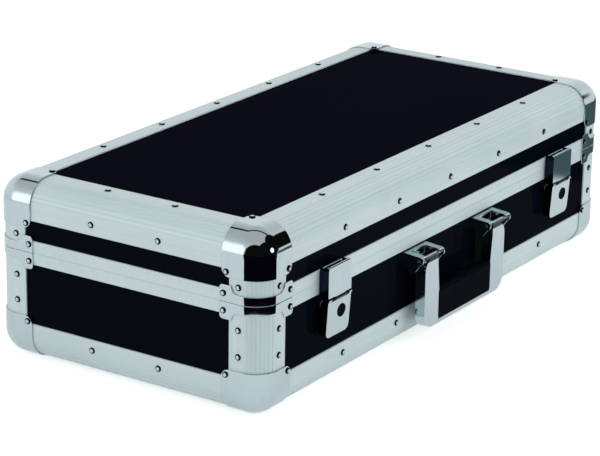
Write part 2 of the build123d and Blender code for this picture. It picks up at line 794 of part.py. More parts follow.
def hasp(middle):
    """Channel-shaped hasp with a rolled top edge and one knuckle on the link pin."""
    top = base_height + hasp_rise
    roll = (latch_face_out - hasp_roll_radius, top - hasp_roll_radius)
    flange_low = link[1] + link_knuckle_radius + 3 * ear_gap
    with BuildPart() as channel:
        with BuildSketch(side_plane(middle)):
            with BuildLine():
                Polyline((latch_face_out, flange_low - 2 * ear_gap), (latch_face_out, roll[1]), roll,
                         (plate_inner, roll[1]), (flange_out, roll[1]), (flange_out, flange_low),
                         (plate_inner, flange_low - 2 * ear_gap), close=True)
            make_face()
        extrude(amount=half_latch, both=True)
        with BuildSketch(side_plane(middle)):
            with Locations((plate_inner, top)):
                Rectangle(plate_inner, top, align=(Align.MAX, Align.MAX))
        extrude(amount=half_latch - latch_sheet, both=True, mode=Mode.SUBTRACT)
        with BuildSketch(side_plane(middle)):
            with Locations(roll):
                Circle(hasp_roll_radius)
        extrude(amount=half_latch, both=True)
        with BuildSketch(side_plane(middle)):
            with Locations((plate_inner, flange_low)):
                Rectangle(latch_sheet, flange_low - link[1], align=(Align.MIN, Align.MAX))
            with Locations(link):
                Circle(link_knuckle_radius)
        extrude(amount=middle_knuckle / 2, both=True)
        with BuildSketch(side_plane(middle)):
            with Locations(link):
                Circle(link_pin_radius + link_play)
        extrude(amount=half_latch, both=True, mode=Mode.SUBTRACT)
    return channel.part


def strike_outline():
    """Side view of the strike: a plate on the lid's strip and a lip that the hasp holds."""
    lip_end = latch_face_out - 2 * hasp_roll_radius - strike_clearance
    lip_low = base_height + closure_height - strike_sheet
    lip_high = base_height + hasp_rise - hasp_roll_radius
    plate_low = base_height + 2 * rim_gap
    return [(0, plate_low), (strike_sheet, plate_low), (strike_sheet, lip_low), (lip_end, lip_low),
            (lip_end, lip_high), (lip_end - strike_sheet, lip_high),
            (lip_end - strike_sheet, lip_low + strike_sheet), (0, lip_low + strike_sheet)]


with BuildPart() as latch_strikes:
    for middle in (-latch_spacing / 2, latch_spacing / 2):
        with BuildSketch(side_plane(middle)):
            with BuildLine():
                Polyline(*strike_outline(), close=True)
            make_face()
        extrude(amount=strike_width / 2, both=True)
save(latch_strikes.part, "latch_strikes")

with BuildPart() as latch_pivot_pins:
    for middle in (-latch_spacing / 2, latch_spacing / 2):
        with BuildSketch(side_plane(middle)):
            with Locations(pivot):
                Circle(pivot_pin_radius)
        extrude(amount=tab_outer, both=True)
save(latch_pivot_pins.part, "latch_pivot_pins")

for name, middle in (("left", -latch_spacing / 2), ("right", latch_spacing / 2)):
    save(latch_base(middle), f"latch_base_{name}")
    save(lever(middle), f"latch_lever_{name}")
    save(hasp(middle), f"latch_hasp_{name}")
    save(lock_barrel(middle), f"lock_barrel_{name}")
    save(key_plug(middle), f"key_plug_{name}")
    with BuildPart() as link_pin:
        with BuildSketch(side_plane(middle)):
            with Locations(link):
                Circle(link_pin_radius)
        extrude(amount=half_latch, both=True)
    save(link_pin.part, f"link_pin_{name}")


def handle_bracket(middle):
    """Pressed bracket: a shelf with a window, two cheeks round the pin and a back flange."""
    nose = (handle_pin_out, handle_pin_height)
    shelf_low = bracket_top - bracket_sheet
    nose_low = handle_pin_height + bracket_nose_radius - bracket_sheet
    ahead = handle_pin_out + 2 * bracket_nose_radius
    with BuildPart() as bracket:
        with BuildSketch(side_plane(middle)):
            with BuildLine():
                Polyline((-sheet, bracket_top), (handle_pin_out, handle_pin_height + bracket_nose_radius),
                         (handle_pin_out + bracket_nose_radius, handle_pin_height),
                         (bracket_cheek_out + bracket_sheet, bracket_cheek_low),
                         (bracket_cheek_out - 2 * bracket_sheet, bracket_cheek_low),
                         (-sheet, bracket_cheek_low + bracket_cheek_out / 2), close=True)
            make_face()
            with Locations(nose):
                Circle(bracket_nose_radius)
        extrude(amount=bracket_width / 2, both=True)
        with BuildSketch(side_plane(middle)):
            with BuildLine():
                Polyline((-sheet + bracket_sheet, shelf_low), (handle_pin_out, nose_low), (ahead, nose_low),
                         (ahead, 0), (-sheet + bracket_sheet, 0), close=True)
            make_face()
        extrude(amount=bracket_width / 2 - bracket_sheet, both=True, mode=Mode.SUBTRACT)
        with BuildSketch(Plane(origin=(middle, front_y, case_bottom + shelf_low - bracket_nose_radius))):
            with Locations((0, -bracket_opening_out)):
                Rectangle(bracket_opening_width, ahead, align=(Align.CENTER, Align.MAX))
        extrude(amount=2 * bracket_nose_radius, mode=Mode.SUBTRACT)
        with BuildSketch(side_plane(middle)):
            with Locations(nose):
                Circle(handle_pin_radius)
        extrude(amount=bracket_width, both=True, mode=Mode.SUBTRACT)
    return bracket.part


save(handle_bracket(-handle_spacing / 2), "handle_bracket_left")
save(handle_bracket(handle_spacing / 2), "handle_bracket_right")

with BuildPart() as handle_pins:
    for middle in (-handle_spacing / 2, handle_spacing / 2):
        with BuildSketch(side_plane(middle)):
            with Locations((handle_pin_out, handle_pin_height)):
                Circle(handle_pin_radius)
        extrude(amount=bracket_width / 2, both=True)
save(handle_pins.part, "handle_pins")

handle_half = (handle_spacing + handle_leg_width) / 2
handle_inner = (handle_spacing - handle_leg_width) / 2
grip_half = handle_inner - handle_spread
strip_top = handle_bottom + handle_strip
leg_top = handle_pin_height
handle_face = Plane(origin=(0, front_y - handle_out, case_bottom), x_dir=(1, 0, 0), z_dir=(0, -1, 0))
with BuildPart() as handle_frame:
    with BuildSketch(handle_face):
        with BuildLine():
            Polyline((-handle_half, leg_top), (-handle_half, handle_bottom), (handle_half, handle_bottom),
                     (handle_half, leg_top), close=True)
        frame_face = make_face()
        fillet(frame_face.vertices().group_by(Axis.Z)[0], handle_corner_radius)
        with BuildLine():
            Polyline((-handle_inner, 2 * leg_top), (-handle_inner, handle_spread_top),
                     (-grip_half, grip_top), (-grip_half, strip_top),
                     (grip_half, strip_top), (grip_half, grip_top),
                     (handle_inner, handle_spread_top), (handle_inner, 2 * leg_top), close=True)
        make_face(mode=Mode.SUBTRACT)
    extrude(amount=-handle_depth)
    for side in (-1, 1):
        middle = side * handle_spacing / 2
        with BuildSketch(side_plane(middle)):
            with Locations((handle_out - handle_depth, leg_top)):
                Rectangle(handle_pin_out - handle_knuckle_radius - handle_out + handle_depth,
                          bracket_nose_radius * 2, align=(Align.MIN, Align.MAX))
            with Locations((handle_out, leg_top)):
                Rectangle(handle_out - handle_pin_out + handle_depth, handle_knuckle_radius,
                          align=(Align.MAX, Align.CENTER))
        extrude(amount=handle_leg_width / 2, both=True, mode=Mode.SUBTRACT)
        with BuildSketch(side_plane(middle)):
            with Locations((handle_pin_out, handle_pin_height)):
                Circle(handle_knuckle_radius)
        extrude(amount=handle_leg_width / 2, both=True)
        with BuildSketch(side_plane(middle)):
            with Locations((handle_pin_out, handle_pin_height)):
                Circle(handle_pin_radius + handle_pin_play)
        extrude(amount=handle_leg_width, both=True, mode=Mode.SUBTRACT)
save(handle_frame.part, "handle_frame")

grip_low = strip_top
with BuildPart() as handle_grip:
    with BuildSketch(Plane(origin=(0, front_y, case_bottom), x_dir=(0, -1, 0), z_dir=(-1, 0, 0))):
        with Locations((handle_out + grip_proud, grip_low)):
            RectangleRounded(handle_depth + 2 * grip_proud, grip_top - grip_low, grip_round,
                             align=(Align.MAX, Align.MIN))
    extrude(amount=grip_half - grip_gap, both=True)
save(handle_grip.part, "handle_grip")
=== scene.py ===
"""Looks of the disc storage case: trim, panels, corners, rivets, latches, handle and its studio."""

import logging
import math
from contextlib import contextmanager
from dataclasses import dataclass
from enum import Enum
from functools import cache, cached_property
from typing import Any, Callable, Iterable, Iterator, Sequence

import bmesh
import bpy
from mathutils import Matrix, Vector


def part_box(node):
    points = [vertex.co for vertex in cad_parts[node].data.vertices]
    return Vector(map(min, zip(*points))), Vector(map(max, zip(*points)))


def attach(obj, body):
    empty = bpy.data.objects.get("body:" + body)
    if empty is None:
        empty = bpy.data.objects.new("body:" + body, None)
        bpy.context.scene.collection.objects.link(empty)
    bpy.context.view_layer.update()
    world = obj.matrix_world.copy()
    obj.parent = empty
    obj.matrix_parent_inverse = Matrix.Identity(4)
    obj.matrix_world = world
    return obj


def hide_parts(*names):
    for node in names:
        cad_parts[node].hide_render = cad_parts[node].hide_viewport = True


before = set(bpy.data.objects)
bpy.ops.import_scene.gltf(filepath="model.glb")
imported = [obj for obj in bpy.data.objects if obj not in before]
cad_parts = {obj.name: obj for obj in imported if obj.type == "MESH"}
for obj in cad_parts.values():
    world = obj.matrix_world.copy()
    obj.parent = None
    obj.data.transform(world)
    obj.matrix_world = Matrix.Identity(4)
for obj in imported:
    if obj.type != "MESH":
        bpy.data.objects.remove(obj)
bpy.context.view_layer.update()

log = logging.getLogger("disc_case")
MM = 0.001
SHARP_ANGLE = 35.0
SHEET_EDGE_ANGLE = 50.0
FLAT_ANGLE = 1.0
FLAT_WEIGHT = 80
MERGE_DISTANCE = 1e-6
CLOSE_DISTANCE = 1e-7
Point = tuple[float, float]
Place = tuple[float, float, float]
EdgeTest = Callable[[Vector, Vector], float]
FaceTest = Callable[[Vector, Vector], bool]


class Side(Enum):
    """Walls of the case, each with its outward direction."""

    FRONT = (0, -1)
    BACK = (0, 1)
    LEFT = (-1, 0)
    RIGHT = (1, 0)

    @property
    def path(self) -> Vector:
        """Direction that the wall runs in."""
        return Vector((0, 1, 0)) if self.value[0] else Vector((1, 0, 0))


class Level(Enum):
    """The two halves of the case."""

    BASE = -1
    LID = 1

    @property
    def body(self) -> str:
        """Name of the body that the half belongs to."""
        return "root" if self is Level.BASE else "lid"

    @property
    def prefix(self) -> str:
        """First word of the half's node names."""
        return self.name.lower()


# Node trees


class Wire:
    """A node socket that takes part in Python arithmetic."""

    def __init__(self, net: "NodeNet", socket: bpy.types.NodeSocket) -> None:
        """Wrap a socket of a net.

        Args:
            net: The net that the socket belongs to.
            socket: The output socket.
        """
        self.net = net
        self.socket = socket

    def __add__(self, other: Any) -> "Wire":
        """Sum."""
        return self.net.maths("ADD", self, other)

    def __radd__(self, other: Any) -> "Wire":
        """Reflected sum."""
        return self.net.maths("ADD", other, self)

    def __sub__(self, other: Any) -> "Wire":
        """Difference."""
        return self.net.maths("SUBTRACT", self, other)

    def __rsub__(self, other: Any) -> "Wire":
        """Reflected difference."""
        return self.net.maths("SUBTRACT", other, self)

    def __mul__(self, other: Any) -> "Wire":
        """Product."""
        return self.net.maths("MULTIPLY", self, other)

    def __rmul__(self, other: Any) -> "Wire":
        """Reflected product."""
        return self.net.maths("MULTIPLY", other, self)

    def __pow__(self, other: Any) -> "Wire":
        """Power."""
        return self.net.maths("POWER", self, other)


class NodeNet:
    """A node tree under construction."""

    def __init__(self, tree: bpy.types.NodeTree) -> None:
        """Start on a tree, and empty it.

        Args:
            tree: The tree to build.
        """
        self.tree = tree
        tree.nodes.clear()

    def node(self, kind: str, settings: dict[str, Any] | None = None,
             sockets: dict[str | int, Any] | None = None) -> bpy.types.Node:
        """Add a node.

        Args:
            kind: The node's type name.
            settings: Properties, set before the sockets.
            sockets: Values or links of input sockets, by name or number.

        Returns:
            The node.
        """
        made = self.tree.nodes.new(kind)
        for key, value in (settings or {}).items():
            setattr(made, key, value)
        for key, value in (sockets or {}).items():
            self._feed(made.inputs[key], value)
        return made

    def wire(self, kind: str, settings: dict[str, Any] | None = None,
             sockets: dict[str | int, Any] | None = None, output: str | int = 0) -> Wire:
        """Add a node and wrap one of its outputs."""
        return Wire(self, self.node(kind, settings, sockets).outputs[output])

    def maths(self, operation: str, *values: Any) -> Wire:
        """Add a Math node over some values."""
        return self.wire("ShaderNodeMath", {"operation": operation}, dict(enumerate(values)))

    def part(self, vector: Wire, axis: str) -> Wire:
        """One part of a vector."""
        return self.wire("ShaderNodeSeparateXYZ", None, {0: vector}, axis)

    def along(self, way: Wire, axis: Vector) -> Wire:
        """How far a direction points along an axis."""
        return self.wire("ShaderNodeVectorMath", {"operation": "DOT_PRODUCT"}, {0: way, 1: axis},
                         "Value")

    def step(self, value: Wire, low: float, high: float) -> Wire:
        """Soft step from 0 at one value to 1 at another."""
        return self.wire("ShaderNodeMapRange", {"interpolation_type": "SMOOTHSTEP"},
                         {"Value": value, "From Min": low, "From Max": high})

    def _feed(self, socket: bpy.types.NodeSocket, value: Any) -> None:
        """Link or set one input socket."""
        if isinstance(value, Wire):
            self.tree.links.new(value.socket, socket)
        elif isinstance(value, bpy.types.NodeSocket):
            self.tree.links.new(value, socket)
        else:
            socket.default_value = value


class Paint(NodeNet):
    """A material's node net with the calls that finishes share."""

    def __init__(self, name: str) -> None:
        """Start a material.

        Args:
            name: The material's name.
        """
        self.material = bpy.data.materials.new(name)
        self.material.use_nodes = True
        super().__init__(self.material.node_tree)

    @cached_property
    def place(self) -> Wire:
        """Place on the piece, in metres."""
        return self.wire("ShaderNodeTexCoord", output="Object")

    def noise(self, scale: float, detail: float = 2.0, stretch: Place = (1, 1, 1),
              rough: float = 0.5) -> Wire:
        """Noise over the piece, between 0 and 1.

        Args:
            scale: Cells per metre.
            detail: Octaves.
            stretch: Scale along each axis.
            rough: Weight of the finer octaves.

        Returns:
            The noise's value.
        """
        spread = self.wire("ShaderNodeMapping", {"vector_type": "POINT"},
                           {"Vector": self.place, "Scale": stretch}, "Vector")
        return self.wire("ShaderNodeTexNoise", None,
                         {"Vector": spread, "Scale": scale, "Detail": detail, "Roughness": rough})

    def blend(self, share: Any, first: Place, second: Place) -> Wire:
        """Mix two colours by a share."""
        return self.wire("ShaderNodeMix", {"data_type": "RGBA"},
                         {0: share, 6: (*first, 1.0), 7: (*second, 1.0)}, 2)

    def limited(self, value: Wire, low: float, high: float) -> Wire:
        """Spread a value's range over 0 to 1 and cut it off there."""
        return self.wire("ShaderNodeMapRange", {"clamp": True},
                         {"Value": value, "From Min": low, "From Max": high})

    def bump(self, height: Wire, strength: float, distance: float) -> Wire:
        """Bump from a height, with its distance in metres."""
        return self.wire("ShaderNodeBump", None,
                         {"Height": height, "Strength": strength, "Distance": distance}, "Normal")

    def surface(self, shader: bpy.types.Node) -> bpy.types.Material:
        """Finish the material with a shader, and return it."""
        self.node("ShaderNodeOutputMaterial", None, {"Surface": shader.outputs[0]})
        return self.material


# Finishes


@dataclass(frozen=True)
class Finish:
    """A finish of the case: a named material."""

    name: str

    def make(self) -> bpy.types.Material:
        """Build the material."""
        paint = Paint(self.name)
        return paint.surface(paint.node("ShaderNodeBsdfPrincipled", None, self.sockets(paint)))

    def sockets(self, paint: Paint) -> dict[str, Any]:
        """Values and links of the surface's sockets."""
        raise NotImplementedError


@cache
def material_of(finish: Finish) -> bpy.types.Material:
    """Material of a finish, made at its first use."""
    return finish.make()


def scaled(colour: Place, share: float) -> Place:
    """A colour made brighter or darker."""
    return tuple(share * part for part in colour)


@dataclass(frozen=True)
class Aluminium(Finish):
    """Satin anodised extrusion, with fine die lines along its length."""

    along: int
    colour: Place = (0.685, 0.815, 0.83)
    dark: Place = (0.605, 0.735, 0.75)
    roughness: float = 0.5
    metallic: float = 0.18
    line_scales: Point = (2.0, 420.0)
    cloud_scale: float = 9.0
    grain_scale: float = 2600.0
    depth: float = 0.00006

    def sockets(self, paint: Paint) -> dict[str, Any]:
        """Values and links of the surface's sockets."""
        lengthways, across = self.line_scales
        lines = tuple(lengthways if axis == self.along else across for axis in range(3))
        die = paint.noise(1.0, 3.0, lines, 0.65)
        cloud = paint.noise(self.cloud_scale, 3.0)
        grain = paint.noise(self.grain_scale, 1.0)
        tone = paint.limited(die * 0.6 + cloud * 0.4, 0.38, 0.62)
        return {
            "Base Color": paint.blend(tone, self.dark, self.colour),
            "Metallic": self.metallic,
            "Roughness": self.roughness + (die - 0.5) * 0.16 + (cloud - 0.5) * 0.1,
            "Normal": paint.bump(die * 0.8 + grain * 0.2, 0.25, self.depth),
        }


@dataclass(frozen=True)
class Chrome(Finish):
    """Polished plating, slightly wavy, with faint wiping marks."""

    colour: Place = (0.485, 0.583, 0.612)
    roughness: float = 0.05
    wave: float = 0.0006
    wave_scale: float = 26.0
    smear_scale: float = 160.0
    smear_tone: float = 0.93

    def sockets(self, paint: Paint) -> dict[str, Any]:
        """Values and links of the surface's sockets."""
        wave = paint.noise(self.wave_scale, 1.0)
        smear = paint.noise(self.smear_scale, 4.0, (1, 1, 0.3), 0.6)
        worn = paint.limited(smear, 0.52, 0.8)
        return {
            "Base Color": paint.blend(worn, self.colour, scaled(self.colour, self.smear_tone)),
            "Metallic": 1.0,
            "Roughness": self.roughness + worn * 0.07,
            "Normal": paint.bump(wave, 0.5, self.wave),
        }


@dataclass(frozen=True)
class Laminate(Finish):
    """Glossy black sheet glued on plywood."""

    colour: Place = (0.0010, 0.0030, 0.0060)
    haze: Place = (0.0016, 0.0038, 0.0072)
    roughness: float = 0.5
    coat: float = 0.03
    coat_roughness: float = 0.08
    peel_scale: float = 420.0
    cloud_scale: float = 7.0
    speck_scale: float = 1500.0
    depth: float = 0.00005

    def sockets(self, paint: Paint) -> dict[str, Any]:
        """Values and links of the surface's sockets."""
        peel = paint.noise(self.peel_scale, 2.0)
        cloud = paint.limited(paint.noise(self.cloud_scale, 4.0), 0.35, 0.7)
        specks = paint.limited(paint.noise(self.speck_scale, 1.0), 0.69, 0.76)
        return {
            "Base Color": paint.blend(cloud * 0.8 + specks * 0.2, self.colour, self.haze),
            "Roughness": self.roughness + cloud * 0.05,
            "Specular IOR Level": 0.0,
            "Coat Weight": self.coat * (1.0 - specks * 0.4),
            "Coat Roughness": self.coat_roughness,
            "Normal": paint.bump(peel, 0.12, self.depth),
        }


@dataclass(frozen=True)
class Plated(Finish):
    """Satin plated steel of small parts."""

    colour: Place
    roughness: float
    mark_scale: float = 700.0
    dirt_scale: float = 260.0
    dirt_tone: float = 0.7
    depth: float = 0.00004

    def sockets(self, paint: Paint) -> dict[str, Any]:
        """Values and links of the surface's sockets."""
        marks = paint.noise(self.mark_scale, 3.0, rough=0.7)
        dirt = paint.limited(paint.noise(self.dirt_scale, 2.0), 0.55, 0.75)
        return {
            "Base Color": paint.blend(dirt * 0.6, self.colour, scaled(self.colour, self.dirt_tone)),
            "Metallic": 1.0,
            "Roughness": self.roughness + marks * 0.12,
            "Normal": paint.bump(marks, 0.2, self.depth),
        }


@dataclass(frozen=True)
class RivetHead(Finish):
    """Plated rivet head, with painted shade darkening it from its rim up to near its crown."""

    colour: Place = (0.52, 0.60, 0.62)
    grime: Place = (0.006, 0.01, 0.014)
    roughness: float = 0.06
    patch_scale: float = 900.0
    clean_from: float = 0.8
    clean_to: float = 0.93

    def sockets(self, paint: Paint) -> dict[str, Any]:
        """Values and links of the surface's sockets."""
        rise = paint.wire("ShaderNodeAttribute", {"attribute_name": "rise"}, output="Fac")
        patchy = paint.noise(self.patch_scale, 2.0)
        # Painted shade: the head darkens from its rim up, and only its crown keeps the plated
        # colour.
        unshaded = paint.limited(rise + (patchy - 0.5) * 0.12, self.clean_from, self.clean_to)
        return {
            "Base Color": paint.blend(unshaded, self.grime, self.colour),
            "Metallic": 1.0,
            "Roughness": self.roughness + (1.0 - unshaded) * 0.2,
        }


@dataclass(frozen=True)
class Moulded(Finish):
    """Moulded black plastic or black paint, with a fine grain."""

    colour: Place
    roughness: float = 0.34
    grain: float = 1400.0
    depth: float = 0.00008
    coat: float = 0.035
    coat_roughness: float = 0.2
    wear_scale: float = 60.0
    wear_tone: float = 1.8

    def sockets(self, paint: Paint) -> dict[str, Any]:
        """Values and links of the surface's sockets."""
        grain = paint.noise(self.grain, 2.0)
        wear = paint.limited(paint.noise(self.wear_scale, 4.0), 0.55, 0.8)
        return {
            "Base Color": paint.blend(wear, self.colour, scaled(self.colour, self.wear_tone)),
            "Roughness": self.roughness - wear * 0.08 + (grain - 0.5) * 0.1,
            "Specular IOR Level": 0.0,
            "Coat Weight": self.coat,
            "Coat Roughness": self.coat_roughness,
            "Normal": paint.bump(grain, 0.4, self.depth),
        }


@dataclass(frozen=True)
class Pile(Finish):
    """Short pile or open foam inside the case."""

    colour: Place = (0.022, 0.022, 0.026)
    tip: Place = (0.05, 0.05, 0.056)
    scale: float = 900.0
    depth: float = 0.0004
    lie_scale: float = 14.0

    def sockets(self, paint: Paint) -> dict[str, Any]:
        """Values and links of the surface's sockets."""
        fibre = paint.noise(self.scale, 3.0, rough=0.7)
        lie = paint.noise(self.lie_scale, 3.0)
        shade = paint.limited(fibre * 0.65 + lie * 0.35, 0.36, 0.64)
        return {
            "Base Color": paint.blend(shade, self.colour, self.tip),
            "Roughness": 0.95,
            "Specular IOR Level": 0.15,
            "Sheen Weight": 0.25,
            "Sheen Roughness": 0.6,
            "Normal": paint.bump(fibre, 0.8, self.depth),
        }


ALUMINIUM_X = Aluminium("aluminium_along_x", 0)
ALUMINIUM_Y = Aluminium("aluminium_along_y", 1)
ALUMINIUM_Z = Aluminium("aluminium_along_z", 2)
CORNER_CHROME = Chrome("corner_chrome")
FITTING_CHROME = Chrome("fitting_chrome", wave_scale=70.0, wave=0.00012, roughness=0.09)
# Painted shade: a dark copy of the chrome, for faces that lie in shade and faces that would mirror
# the dark panels.
SHADED_CHROME = Chrome("deep_chrome", (0.013, 0.016, 0.033), 0.16, wave=0.0001)
RIVET_STEEL = RivetHead("rivet_steel")
HINGE_STEEL = Plated("hinge_steel", (0.66, 0.67, 0.69), 0.2)
PIN_STEEL = Plated("pin_steel", (0.6, 0.61, 0.63), 0.22)
PANEL_LAMINATE = Laminate("panel_laminate")
TOP_LAMINATE = Laminate("top_laminate", (0.0008, 0.0008, 0.0075), (0.0012, 0.0012, 0.0092),
                        coat=0.016)
GRIP_PLASTIC = Moulded("grip_plastic", (0.002, 0.0035, 0.006))
LOCK_BLACK = Moulded("lock_black", (0.003, 0.0035, 0.005), 0.3, 2200.0, 0.00003)
PLUG_DARK = Moulded("plug_dark", (0.005, 0.0055, 0.007), 0.3, 2200.0, 0.00003)
LINING_PILE = Pile("lining_pile")
BOARD_COVER = Pile("board_cover", (0.02, 0.02, 0.023), (0.04, 0.04, 0.046), 1500.0, 0.0002)
LID_FOAM = Pile("lid_foam", (0.02, 0.02, 0.022), (0.06, 0.06, 0.065), 650.0, 0.0006)


# Mesh tools


def linked(name: str, data: bpy.types.ID) -> bpy.types.Object:
    """Make an object of a mesh, lamp or camera, and link it into the scene."""
    made = bpy.data.objects.new(name, data)
    bpy.context.scene.collection.objects.link(made)
    return made


def new_object(name: str, vertices: Iterable[Sequence[float]],
               faces: Iterable[Sequence[int]]) -> bpy.types.Object:
    """Make a mesh object of points in millimetres.

    Args:
        name: The object's name.
        vertices: Its points.
        faces: Its faces, as point numbers.

    Returns:
        The object, linked into the scene.
    """
    mesh = bpy.data.meshes.new(name)
    mesh.from_pydata([Vector(point) * MM for point in vertices], [], [list(face) for face in faces])
    mesh.update()
    return linked(name, mesh)


@contextmanager
def edited(mesh: bpy.types.Mesh) -> Iterator[bmesh.types.BMesh]:
    """Open a mesh for editing, and write it back at the end."""
    work = bmesh.new()
    work.from_mesh(mesh)
    yield work
    work.to_mesh(mesh)
    work.free()
    mesh.update()


def flatten_modifiers(piece: bpy.types.Object) -> None:
    """Turn a piece's modifiers into plain mesh."""
    graph = bpy.context.evaluated_depsgraph_get()
    mesh = bpy.data.meshes.new_from_object(piece.evaluated_get(graph), depsgraph=graph)
    piece.modifiers.clear()
    old, piece.data = piece.data, mesh
    mesh.name = piece.name
    bpy.data.meshes.remove(old)


def merge_pieces(name: str, pieces: Sequence[bpy.types.Object]) -> bpy.types.Object:
    """Join plain mesh objects into one of a given name."""
    whole = bmesh.new()
    for piece in pieces:
        whole.from_mesh(piece.data)
        bpy.data.objects.remove(piece)
    mesh = bpy.data.meshes.new(name)
    whole.to_mesh(mesh)
    whole.free()
    return linked(name, mesh)


def face_outwards(mesh: bpy.types.Mesh) -> None:
    """Merge doubles and point a closed mesh's faces outwards."""
    with edited(mesh) as work:
        bmesh.ops.remove_doubles(work, verts=work.verts, dist=CLOSE_DISTANCE)
        bmesh.ops.recalc_face_normals(work, faces=work.faces)


def weigh_edges(mesh: bpy.types.Mesh, width: float, angle: float, extra: EdgeTest) -> float:
    """Store each sharp edge's rounding as a share of the widest, and return the widest."""
    work = bmesh.new()
    work.from_mesh(mesh)
    widths = []
    for edge in work.edges:
        sharp = len(edge.link_faces) == 2 and edge.calc_face_angle(0.0) > math.radians(angle)
        ends = [vertex.co / MM for vertex in edge.verts]
        widths.append((extra(*ends) or width) if sharp else 0.0)
    work.free()
    widest = max(widths)
    weights = mesh.attributes.get("bevel_weight_edge") or mesh.attributes.new(
        "bevel_weight_edge", "FLOAT", "EDGE")
    for entry, value in zip(weights.data, widths):
        entry.value = value / widest
    return widest


def round_edges(piece: bpy.types.Object, width: float, segments: int = 2,
                angle: float = SHARP_ANGLE, extra: EdgeTest | None = None) -> None:
    """Round a piece's sharp edges, and keep its flats flat.

    Args:
        piece: The piece.
        width: Width of the rounding in millimetres.
        segments: Steps of the rounding.
        angle: Angle in degrees from which an edge counts as sharp.
        extra: Width in millimetres for an edge, from its two ends in millimetres, or 0 for the
            usual width.
    """
    bevel = piece.modifiers.new("rounded", "BEVEL")
    bevel.segments = segments
    if extra is None:
        bevel.width = width * MM
        bevel.limit_method = "ANGLE"
        bevel.angle_limit = math.radians(angle)
    else:
        bevel.limit_method = "WEIGHT"
        bevel.width = weigh_edges(piece.data, width, angle, extra) * MM
    bevel.harden_normals = False
    bevel.miter_outer = "MITER_ARC"
    weighted = piece.modifiers.new("flats", "WEIGHTED_NORMAL")
    weighted.keep_sharp = True
    weighted.weight = FLAT_WEIGHT
    for polygon in piece.data.polygons:
        polygon.use_smooth = True
    flatten_modifiers(piece)


def smooth_by_angle(piece: bpy.types.Object, angle: float) -> None:
    """Shade a piece smooth, but for edges sharper than an angle."""
    for polygon in piece.data.polygons:
        polygon.use_smooth = True
    piece.data.set_sharp_from_angle(angle=math.radians(angle))


def formed_sheet(name: str, points: Sequence[Sequence[float]], faces: Sequence[Sequence[int]],
                 middle: Vector, thickness: float) -> bpy.types.Object:
    """Make a sheet part of its outer skin.

    Args:
        name: The object's name.
        points: Points of the skin in millimetres, with doubles along its seams.
        faces: Faces of the skin.
        middle: A point inside the case, in millimetres, which the skin faces away from.
        thickness: Thickness of the sheet in millimetres, laid on inwards.

    Returns:
        The part, its thickness still a modifier.
    """
    piece = new_object(name, points, faces)
    with edited(piece.data) as work:
        bmesh.ops.remove_doubles(work, verts=work.verts, dist=MERGE_DISTANCE)
        work.normal_update()
        inward = [face for face in work.faces
                  if face.normal.dot(face.calc_center_median() - middle * MM) < 0]
        bmesh.ops.reverse_faces(work, faces=inward)
    wall = piece.modifiers.new("wall", "SOLIDIFY")
    wall.thickness = thickness * MM
    wall.offset = -1
    wall.use_even_offset = True
    return piece


def dress(piece: bpy.types.Object, finish: Finish, body: str,
          node: str) -> bpy.types.Object:
    """Give a finished piece its material, body and the node that it stands for.

    Args:
        piece: The piece, its mesh in place.
        finish: The finish.
        body: The body that it rides on.
        node: The node that it replaces.

    Returns:
        The piece.
    """
    piece.data.materials.clear()
    piece.data.materials.append(material_of(finish))
    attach(piece, body)
    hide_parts(node)
    log.info("%s: %d faces on %s", piece.name, len(piece.data.polygons), body)
    return piece


def paint_node(node: str, finish: Finish) -> None:
    """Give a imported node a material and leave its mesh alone."""
    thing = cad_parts[node]
    if not thing.material_slots:
        thing.data.materials.append(material_of(finish))
    for holder in thing.material_slots:
        holder.material = material_of(finish)
    log.info("%s: packed mesh kept", node)


def block(name: str, low: Sequence[float], high: Sequence[float]) -> bpy.types.Object:
    """Make a plain block between two corners in millimetres."""
    corners = [(x, y, z) for x in (low[0], high[0]) for y in (low[1], high[1])
               for z in (low[2], high[2])]
    return new_object(name, corners, [(0, 1, 3, 2), (4, 6, 7, 5), (0, 4, 5, 1), (2, 3, 7, 6),
                                      (0, 2, 6, 4), (1, 5, 7, 3)])


def cut_away(piece: bpy.types.Object, cutter: bpy.types.Object) -> None:
    """Cut the second piece out of the first, and drop the second."""
    cut = piece.modifiers.new("cut", "BOOLEAN")
    cut.operation = "DIFFERENCE"
    cut.solver = "EXACT"
    cut.object = cutter
    flatten_modifiers(piece)
    bpy.data.objects.remove(cutter)


def softened_copy(node: str, width: float, segments: int = 2, extra: EdgeTest | None = None,
                  cutter: bpy.types.Object | None = None,
                  split: float | None = None) -> bpy.types.Object:
    """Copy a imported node, merged and with its sharp edges rounded.

    Args:
        node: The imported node.
        width: Width of the rounding in millimetres.
        segments: Steps of the rounding.
        extra: Width for chosen edges, as round_edges takes it.
        cutter: A shape that is cut out of the copy first.
        split: Height in millimetres at which the faces are parted, so that they can differ.

    Returns:
        The copy.
    """
    stem, _, side = node.rpartition("_")
    name = f"{stem}_shown_{side}" if side in ("left", "right") else f"{node}_shown"
    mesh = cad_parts[node].data.copy()
    mesh.name = name
    with edited(mesh) as work:
        bmesh.ops.remove_doubles(work, verts=work.verts, dist=2 * MERGE_DISTANCE)
        bmesh.ops.recalc_face_normals(work, faces=work.faces)
        bmesh.ops.dissolve_limit(work, angle_limit=math.radians(FLAT_ANGLE), verts=work.verts,
                                 edges=work.edges)
        if split is not None:
            bmesh.ops.bisect_plane(work, geom=[*work.verts, *work.edges, *work.faces],
                                   plane_co=(0, 0, split * MM), plane_no=(0, 0, 1))
    made = linked(name, mesh)
    if cutter is not None:
        cut_away(made, cutter)
    round_edges(made, width, segments, extra=extra)
    return made


